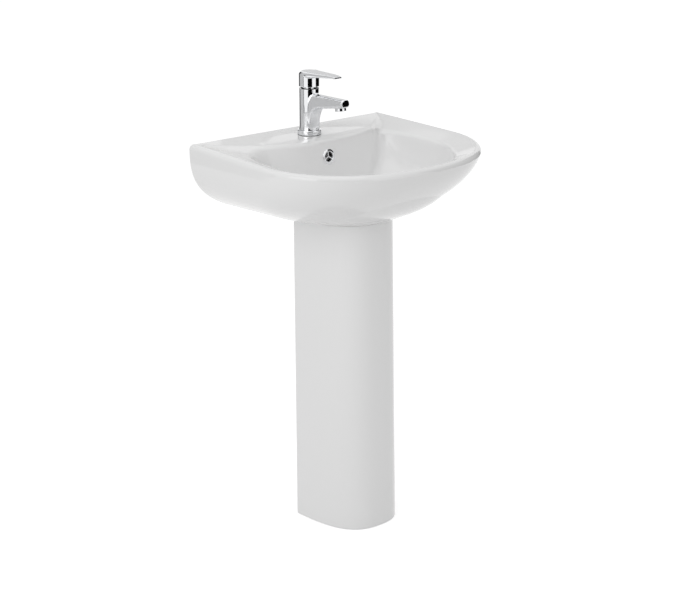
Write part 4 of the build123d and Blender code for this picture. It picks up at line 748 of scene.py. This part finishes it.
def cast(name, distance, low, high, step, body):
    """A closed skin of quads on a distance field, written as (x, f, z) in millimetres."""
    lines = [np.arange(a, b + step, step) for a, b in zip(low, high)]
    inside = distance(*np.meshgrid(*lines, indexing="ij")) < 0
    first, last = slice(None, -1), slice(1, None)
    corners = [inside[i, j, k] for i in (first, last) for j in (first, last) for k in (first, last)]
    count = sum(corner.astype(int) for corner in corners)
    number = np.full(count.shape, -1)
    crossed = (count > 0) & (count < 8)
    number[crossed] = np.arange(crossed.sum())
    points = np.array(low) + (np.argwhere(crossed) + 0.5) * step
    quads = []
    for axis in range(3):
        field, cells = np.moveaxis(inside, axis, 0), np.moveaxis(number, axis, 0)
        i, j, k = np.nonzero(field[1:, 1:-1, 1:-1] != field[:-1, 1:-1, 1:-1])
        corners = [cells[i, j, k], cells[i, j + 1, k], cells[i, j + 1, k + 1], cells[i, j, k + 1]]
        quads.append(np.stack(corners, 1))
    quads = np.concatenate(quads)
    points = settle(distance, points)
    sides = np.concatenate([quads[:, [a, (a + 1) % 4]] for a in range(4)])
    sides = np.concatenate([sides, sides[:, ::-1]])
    share = np.bincount(sides[:, 0], minlength=len(points))[:, None]
    for _ in range(4):
        near = points[sides[:, 1]].T
        total = np.stack([np.bincount(sides[:, 0], line, len(points)) for line in near], 1)
        points = settle(distance, 0.5 * points + 0.5 * total / share)
    slope = slope_of(distance, points, 0.15)
    placed = points + np.array([0.0, TAP_OUT, 0.0])
    piece = mesh_object(name, placed, quads.tolist(), body, finishes["chrome"], 180)
    slope[:, 1] *= -1
    slope /= np.linalg.norm(slope, axis=1)[:, None]
    piece.data.normals_split_custom_set_from_vertices(slope.tolist())
    print(name + ":", len(quads), "faces")
    return piece


# %% [markdown]
# The body is a round column with a spout that narrows towards its flat end, under a rounded
# ridge that stays equally wide. A web under the spout runs down the front of the column. The
# two share one side view, so no seam shows between them. The cartridge, the hoses, the stud
# and the aerator go into bores.

# %% Tap body
BODY_R, BODY_TOP = 21.5, 948.0
RING_TOP = 857.5
SPOUT_TOP = 937.0
SPOUT_ROOT, SPOUT_END = 8.0, 117.0
SPOUT_DEEP, SPOUT_THINS = 33.0, 16.0
SPOUT_SLOPE = SPOUT_THINS / (SPOUT_END - SPOUT_ROOT)
SPOUT_HALF, SPOUT_NARROWS = 17.3, 5.0
WEB_FOOT, WEB_FLARES, WEB_RUN = 862.0, 874.0, 38.0
WEB_OUT, WEB_REACH = 20.5, 25.0
AERATOR_OUT, AERATOR_R = 101.5, 12.0
AERATOR_LEAN = atan(SPOUT_SLOPE)
AERATOR_Z = SPOUT_TOP - SPOUT_DEEP + SPOUT_SLOPE * (AERATOR_OUT - SPOUT_ROOT)
CARTRIDGE_SEAT_R, CARTRIDGE_SEAT_Z = 14.8, 934.5
CARTRIDGE_FLOOR_R, CARTRIDGE_FLOOR_Z = 12.7, 930
HOSE_X, HOSE_R = 7.0, 5.0
STUD_F, STUD_R = -12.0, 4.0


def along_aerator(x, f, z):
    """Distance from the aerator's axis, and how far below the spout's underside."""
    df, dz = f - AERATOR_OUT, z - AERATOR_Z
    down = df * sin(AERATOR_LEAN) - dz * cos(AERATOR_LEAN)
    across = df * cos(AERATOR_LEAN) + dz * sin(AERATOR_LEAN)
    return np.hypot(x, across), down


def branch(x, f, z):
    """The spout and the web under it: one side view, between sides that lean in to a ridge."""
    share = np.clip((f - SPOUT_ROOT) / (SPOUT_END - SPOUT_ROOT), 0, 1)
    underside = SPOUT_TOP - SPOUT_DEEP + SPOUT_THINS * share
    rise = np.clip((z - WEB_FLARES) / WEB_RUN, 0, 1)
    front = WEB_OUT + WEB_REACH * (1 - np.sqrt(1 - 0.97 * rise**2))
    leaf = np.maximum(f - front, np.maximum(WEB_FOOT - z, z - 920.0))
    view = soft_join(np.maximum(z - SPOUT_TOP, underside - z), leaf, 8.0)
    above = z - underside - 9.5
    lean = 0.16 * (above + np.hypot(above, 4.0))
    web_narrows = 4.5 * ease((WEB_FOOT + WEB_RUN - z) / WEB_RUN)
    half = SPOUT_HALF - SPOUT_NARROWS * share - lean - web_narrows
    bar = soft_cut(np.abs(x) - half, view, 7.0)
    return soft_cut(np.maximum(bar, 4.0 - f), f - SPOUT_END, 2.5)


def tap_metal(x, f, z):
    """Distance from the tap body's metal."""
    out = np.hypot(x, f)
    flare = np.clip((869.0 - z) / 11.0, 0, 1) ** 2
    radius = BODY_R + 1.1 * flare * np.clip((z - RING_TOP) / 0.6, 0, 1)
    dish = np.minimum((-6.56 * (out - 17.25) + 4.25 * (z - 941.44)) / 7.816, z - 941.44)
    column = np.maximum(soft_cut(out - radius, z - BODY_TOP, 1.0), 850.5 - z)
    metal = np.maximum(soft_join(column, branch(x, f, z), 4.0), dish)
    across, down = along_aerator(x, f, z)
    boss = np.maximum(across - AERATOR_R, np.abs(down + 4.2) - 4.3)
    metal = soft_join(metal, boss, 1.5)
    socket = np.maximum(across - (AERATOR_R - 1.0), -down - 8.5)
    cartridge_seat = upright_bore(x, f, z, (0, 0), CARTRIDGE_SEAT_R, CARTRIDGE_SEAT_Z, 960)
    cartridge_floor = upright_bore(x, f, z, (0, 0), CARTRIDGE_FLOOR_R, CARTRIDGE_FLOOR_Z, 960)
    holes = [socket, cartridge_seat, cartridge_floor]
    for side in (-1, 1):
        holes.append(upright_bore(x, f, z, (side * HOSE_X, 0), HOSE_R, 840, 861.5))
    holes.append(upright_bore(x, f, z, (0, STUD_F), STUD_R, 840, 860.5))
    return without(metal, *holes)


tap = cast("tap_casting", tap_metal, (-26, -26, 846), (26, 137, 952), 0.9, "sink")
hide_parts("tap_body")

# %% [markdown]
# The lever is one casting too: a round skirt over the cartridge and a flat paddle that
# thins towards its tip.

# %% Lever
LEVER_TOP = 984.5
PADDLE_ROOT, PADDLE_END = 9.0, 94.0
PADDLE_HALF, PADDLE_NARROWS = 20.5, 10.5
PADDLE_OUTS = (0, 35, 70, PADDLE_END)
PADDLE_THICKS = (12.5, 9.5, 7.0, 3.4)
SKIRT_R, SKIRT_FOOT = 22.4, 951.5
HOLLOW_R, HOLLOW_TOP = 20.2, 979.5
HUB_FOOT = 969.0
GRUB_Z = 973.5


def paddle(x, f, z):
    """The paddle, narrower and thinner towards its tip."""
    share = np.clip((f - PADDLE_ROOT) / (PADDLE_END - PADDLE_ROOT), 0, 1)
    half = PADDLE_HALF - PADDLE_NARROWS * share
    top = LEVER_TOP - 2.6 * np.clip((f - 70.0) / 24.0, 0, 1) ** 2
    thick = np.interp(f, PADDLE_OUTS, PADDLE_THICKS)
    bar = rounded_bar(x, z - top + thick / 2, half, thick / 2, np.minimum(4.5, thick / 2 - 0.9))
    return soft_cut(np.maximum(bar, -f), f - 93.7, 0.5)


def lever_metal(x, f, z):
    """Distance from the lever's metal."""
    out = np.hypot(x, f)
    skirt = rounded_bar(out, z - LEVER_TOP + 40.0, SKIRT_R, 40.0, 8.0)
    metal = np.maximum(soft_join(skirt, paddle(x, f, z), 3.0), z - LEVER_TOP)
    metal = soft_cut(metal, SKIRT_FOOT - z, 0.8)
    cone = ((out - HOLLOW_R) * 6.5 + (z - 973.0) * 5.0) / 8.2
    hollow = np.maximum(np.maximum(out - HOLLOW_R, z - HOLLOW_TOP), cone)
    hub = np.maximum(out - 6.0, HUB_FOOT - z)
    rib = np.maximum(np.maximum(np.abs(x) - 4.5, f), np.maximum(HUB_FOOT - z, out - 21.0))
    metal = np.maximum(metal, -np.maximum(hollow, -np.minimum(hub, rib)))
    spindle_bore = upright_bore(x, f, z, (0, 0), 3.2, 960, 978.0)
    across = np.hypot(x, z - GRUB_Z)
    grub_bore = np.maximum(across - 2.5, np.maximum(f, -30 - f))
    plug_bore = np.maximum(across - 3.0, np.maximum(f + 19.8, -30 - f))
    return without(metal, spindle_bore, grub_bore, plug_bore)


lever = cast("lever_casting", lever_metal, (-26, -26, 948), (26, 98, 988), 0.8, "lever")
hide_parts("lever_handle")

# %% [markdown]
# ## Turned pieces
# The base ring, the aerator's sleeve and the overflow insert are turned on a lathe, so each is
# a profile spun about its own axis.

# %% Turned pieces
def turned(name, profile, place, body, node=None, lean=0.0, finish="chrome", turns=96):
    """A closed profile of (radius, height) spun about an axis at (x, out, z)."""
    points = []
    for step in range(turns):
        angle = 2 * pi * step / turns
        for radius, h in profile:
            f = radius * sin(angle)
            out = place[1] + f * cos(lean) + h * sin(lean)
            z = place[2] - f * sin(lean) + h * cos(lean)
            points.append((place[0] + radius * cos(angle), out, z))
    faces = grid_faces(turns, len(profile), close_rows=True)
    piece = mesh_object(name, points, faces, body, finishes[finish])
    if node:
        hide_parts(node)
    print(name + ":", len(faces), "faces")
    return piece


def arc(middle, radius, start, end, steps=5):
    """Points (radius, height) round a corner, with the angles in degrees."""
    return [
        (middle[0] + radius * cos(radians(a)), middle[1] + radius * sin(radians(a)))
        for a in np.linspace(start, end, steps)
    ]


ring_profile = [(16.5, 0.0)] + arc((25.2, 0.8), 0.8, -90, 0) + arc((24.6, 8.6), 1.4, 0, 90)
ring_profile += [(21.7, 10.0), (21.7, 3.0), (16.5, 3.0)]
turned("base_ring", ring_profile, (0, TAP_OUT, 847.5), "sink", "tap_base_ring")

aerator_profile = [(9.0, 7.0), (11.0, 7.0), (11.0, 0.0), (12.0, 0.0)]
aerator_profile += arc((11.4, -5.9), 0.6, 0, -90) + arc((9.6, -5.9), 0.6, -90, -180)
turned(
    "aerator_sleeve",
    aerator_profile,
    (0, TAP_OUT + AERATOR_OUT, AERATOR_Z),
    "sink",
    "aerator_housing",
    lean=-AERATOR_LEAN,
)

# %% [markdown]
# The overflow insert is a bright ring with a three-armed grid, on a black sleeve that goes
# into the duct. The sleeve's black is painted shade: it darkens the opening, where the duct
# lies in shade.

# %% Overflow insert
OVERFLOW_PLACE = (0, 131.0, OVERFLOW_Z)
SPOKE = (2.6, 2.2, 11.2)


def overflow_piece(name, profile, finish, node=None):
    """A turned piece about the overflow's axis, where height runs out of the wall."""
    lean = pi / 2 - OVERFLOW_LEAN
    return turned(name, profile, OVERFLOW_PLACE, "sink", node, lean=lean, finish=finish)


bezel = [(10.6, -2.0), (11.9, -2.0), (11.9, 1.0), (16.2, 1.0)] + arc((15.4, 1.8), 1.0, -30, 90)
bezel += [(14.0, 3.3), (12.4, 3.4)] + arc((11.6, 2.4), 1.0, 90, 180)
ring = overflow_piece("overflow_bezel", bezel, "chrome")
for arm in range(3):
    bpy.ops.mesh.primitive_cube_add(size=1, scale=[side * MM for side in SPOKE])
    spoke = bpy.context.object
    bpy.ops.object.transform_apply(scale=True)
    spoke.data.transform(Matrix.Translation((0, 0, SPOKE[2] / 2 * MM)))
    spoke.data.transform(Matrix.Rotation(radians(120 * arm), 4, "Y"))
    spoke.data.transform(Matrix.Rotation(-OVERFLOW_LEAN, 4, "X"))
    middle = (0, (WALL_Y - OVERFLOW_PLACE[1]) * MM, OVERFLOW_PLACE[2] * MM)
    spoke.data.transform(Matrix.Translation(middle))
    boolean(ring, spoke, "UNION")
smooth(ring, 35)
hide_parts("overflow_ring")
# The sleeve is black rubber so that it paints the shade inside the overflow's opening.
sleeve = [(10.5, -9.0), (11.8, -9.0), (11.8, -2.1), (10.5, -2.1)]
overflow_piece("overflow_painted_shade_sleeve", sleeve, "rubber")

# %% [markdown]
# ## Floor, light and camera
# The floor and the world look white to the camera and to anything that mirrors them, while
# the light that they give stays at an even, plain level. A softbox on the left shapes the
# china, and a fainter one overhead lights the deck. Chrome has no colour of its own: it shows
# what stands round it, so a studio puts dark and pale cards beside it. Two narrow ones, held
# high, draw thin lines along the spout. All of them show in reflections only.

# %% Floor and light
def seen_directly(tree):
    """1 where a camera, mirror or glass looks straight at a surface, 0 for its light."""
    path = tree.nodes.new("ShaderNodeLightPath")
    largest = path.outputs["Is Camera Ray"]
    for kind in ("Is Glossy Ray", "Is Transmission Ray"):
        step = tree.nodes.new("ShaderNodeMath")
        step.operation = "MAXIMUM"
        tree.links.new(largest, step.inputs[0])
        tree.links.new(path.outputs[kind], step.inputs[1])
        largest = step.outputs["Value"]
    return largest


def between(tree, share, low, high):
    """A value that goes from low to high with a share."""
    step = tree.nodes.new("ShaderNodeMapRange")
    step.inputs["To Min"].default_value = low
    step.inputs["To Max"].default_value = high
    tree.links.new(share, step.inputs["Value"])
    return step.outputs["Result"]


FLOOR_GLOW = 0.5
WORLD_LIGHT = 0.62

bpy.ops.mesh.primitive_plane_add(size=40, location=(0, 0, 0))
floor = bpy.context.object
floor.name = "floor"
pale_floor = plain("pale_floor", "F0F0F0", 0.9)
floor_shader = pale_floor.node_tree.nodes["Principled BSDF"]
floor_shader.inputs["Specular IOR Level"].default_value = 0.0
floor_shader.inputs["Emission Color"].default_value = (1, 1, 1, 1)
floor_glow = between(pale_floor.node_tree, seen_directly(pale_floor.node_tree), 0.0, FLOOR_GLOW)
pale_floor.node_tree.links.new(floor_glow, floor_shader.inputs["Emission Strength"])
floor.data.materials.append(pale_floor)

world = bpy.data.worlds.new("studio")
bpy.context.scene.world = world
world.use_nodes = True
background = world.node_tree.nodes["Background"]
background.inputs["Color"].default_value = (1, 1, 1, 1)
world_light = between(world.node_tree, seen_directly(world.node_tree), WORLD_LIGHT, 1.0)
world.node_tree.links.new(world_light, background.inputs["Strength"])
print("floor and world are white to the camera")

# %% Lamps and cards
def area_light(name, place, aim, size, power):
    """A rectangular softbox that points at a place."""
    light = bpy.data.lights.new(name, "AREA")
    light.shape = "RECTANGLE"
    light.size, light.size_y = size
    light.energy = power
    lamp = bpy.data.objects.new(name, light)
    bpy.context.scene.collection.objects.link(lamp)
    lamp.location = place
    lamp.rotation_euler = (Vector(aim) - Vector(place)).to_track_quat("-Z", "Y").to_euler()


def card(name, material, bearing, spread_angle, distance, heights):
    """An upright card that only reflections show; bearings run from +X towards +Y."""
    middle = Vector((cos(radians(bearing)), sin(radians(bearing)), 0)) * distance
    bpy.ops.mesh.primitive_plane_add(size=1, location=middle + Vector((0, 0, sum(heights) / 2)))
    sheet = bpy.context.object
    sheet.name = name
    sheet.rotation_euler = (pi / 2, 0, radians(bearing) + pi / 2)
    sheet.scale = (2 * distance * sin(radians(spread_angle / 2)), heights[1] - heights[0], 1)
    sheet.data.materials.append(material)
    sheet.visible_camera = False
    sheet.visible_diffuse = False
    sheet.visible_shadow = False
    sheet.visible_transmission = False


area_light("softbox", (-2.6, -0.8, 1.9), (0, 0, 0.65), (2.0, 2.0), 17)
area_light("overhead", (-0.2, 0.1, 2.9), (0, 0, 0.8), (1.6, 1.6), 5)


def board(name, hex_colour):
    """Matt board, for the cards."""
    material = plain(name, hex_colour, 0.9)
    material.node_tree.nodes["Principled BSDF"].inputs["Specular IOR Level"].default_value = 0.0
    return material


dark = board("dark_board", "0A0A0A")
grey = board("grey_board", "EAEAEA")
pale = board("pale_board", "FAFAFA")
CARD_AWAY = 1.6
CARD_FOOT, CARD_TOP = 0.36, 1.9
card("card_behind_camera", dark, -124, 60, CARD_AWAY, (CARD_FOOT, CARD_TOP))
card("card_right", dark, -17, 84, CARD_AWAY, (CARD_FOOT, CARD_TOP))
card("card_left", grey, 132, 70, CARD_AWAY, (CARD_FOOT, CARD_TOP))
card("card_line", dark, 158, 5, 1.55, (CARD_FOOT, CARD_TOP))
card("card_edge", dark, 91, 26, CARD_AWAY, (CARD_FOOT, CARD_TOP))
card("card_low_strip", dark, 120, 14, CARD_AWAY, (1.92, 2.08))
card("card_high_strip", dark, 66, 16, CARD_AWAY, (2.05, 2.25))
card("card_far", pale, 48, 28, 1.65, (1.2, CARD_TOP))
print(len(bpy.data.lights), "lamps")

# %% Camera
camera_data = bpy.data.cameras.new("camera")
camera = bpy.data.objects.new("camera", camera_data)
bpy.context.scene.collection.objects.link(camera)
camera.location = (-2.4541, -2.7198, 1.6320)
aim = Vector((0, 0.025, 0.4))
camera.rotation_euler = (aim - camera.location).to_track_quat("-Z", "Y").to_euler()
camera_data.lens = 91.0
camera_data.sensor_width = 36.0
camera_data.shift_x = 0.0007
camera_data.shift_y = 0.0624
bpy.context.scene.camera = camera
bpy.context.scene.view_settings.view_transform = "Standard"
print("camera lens:", camera_data.lens, "mm")
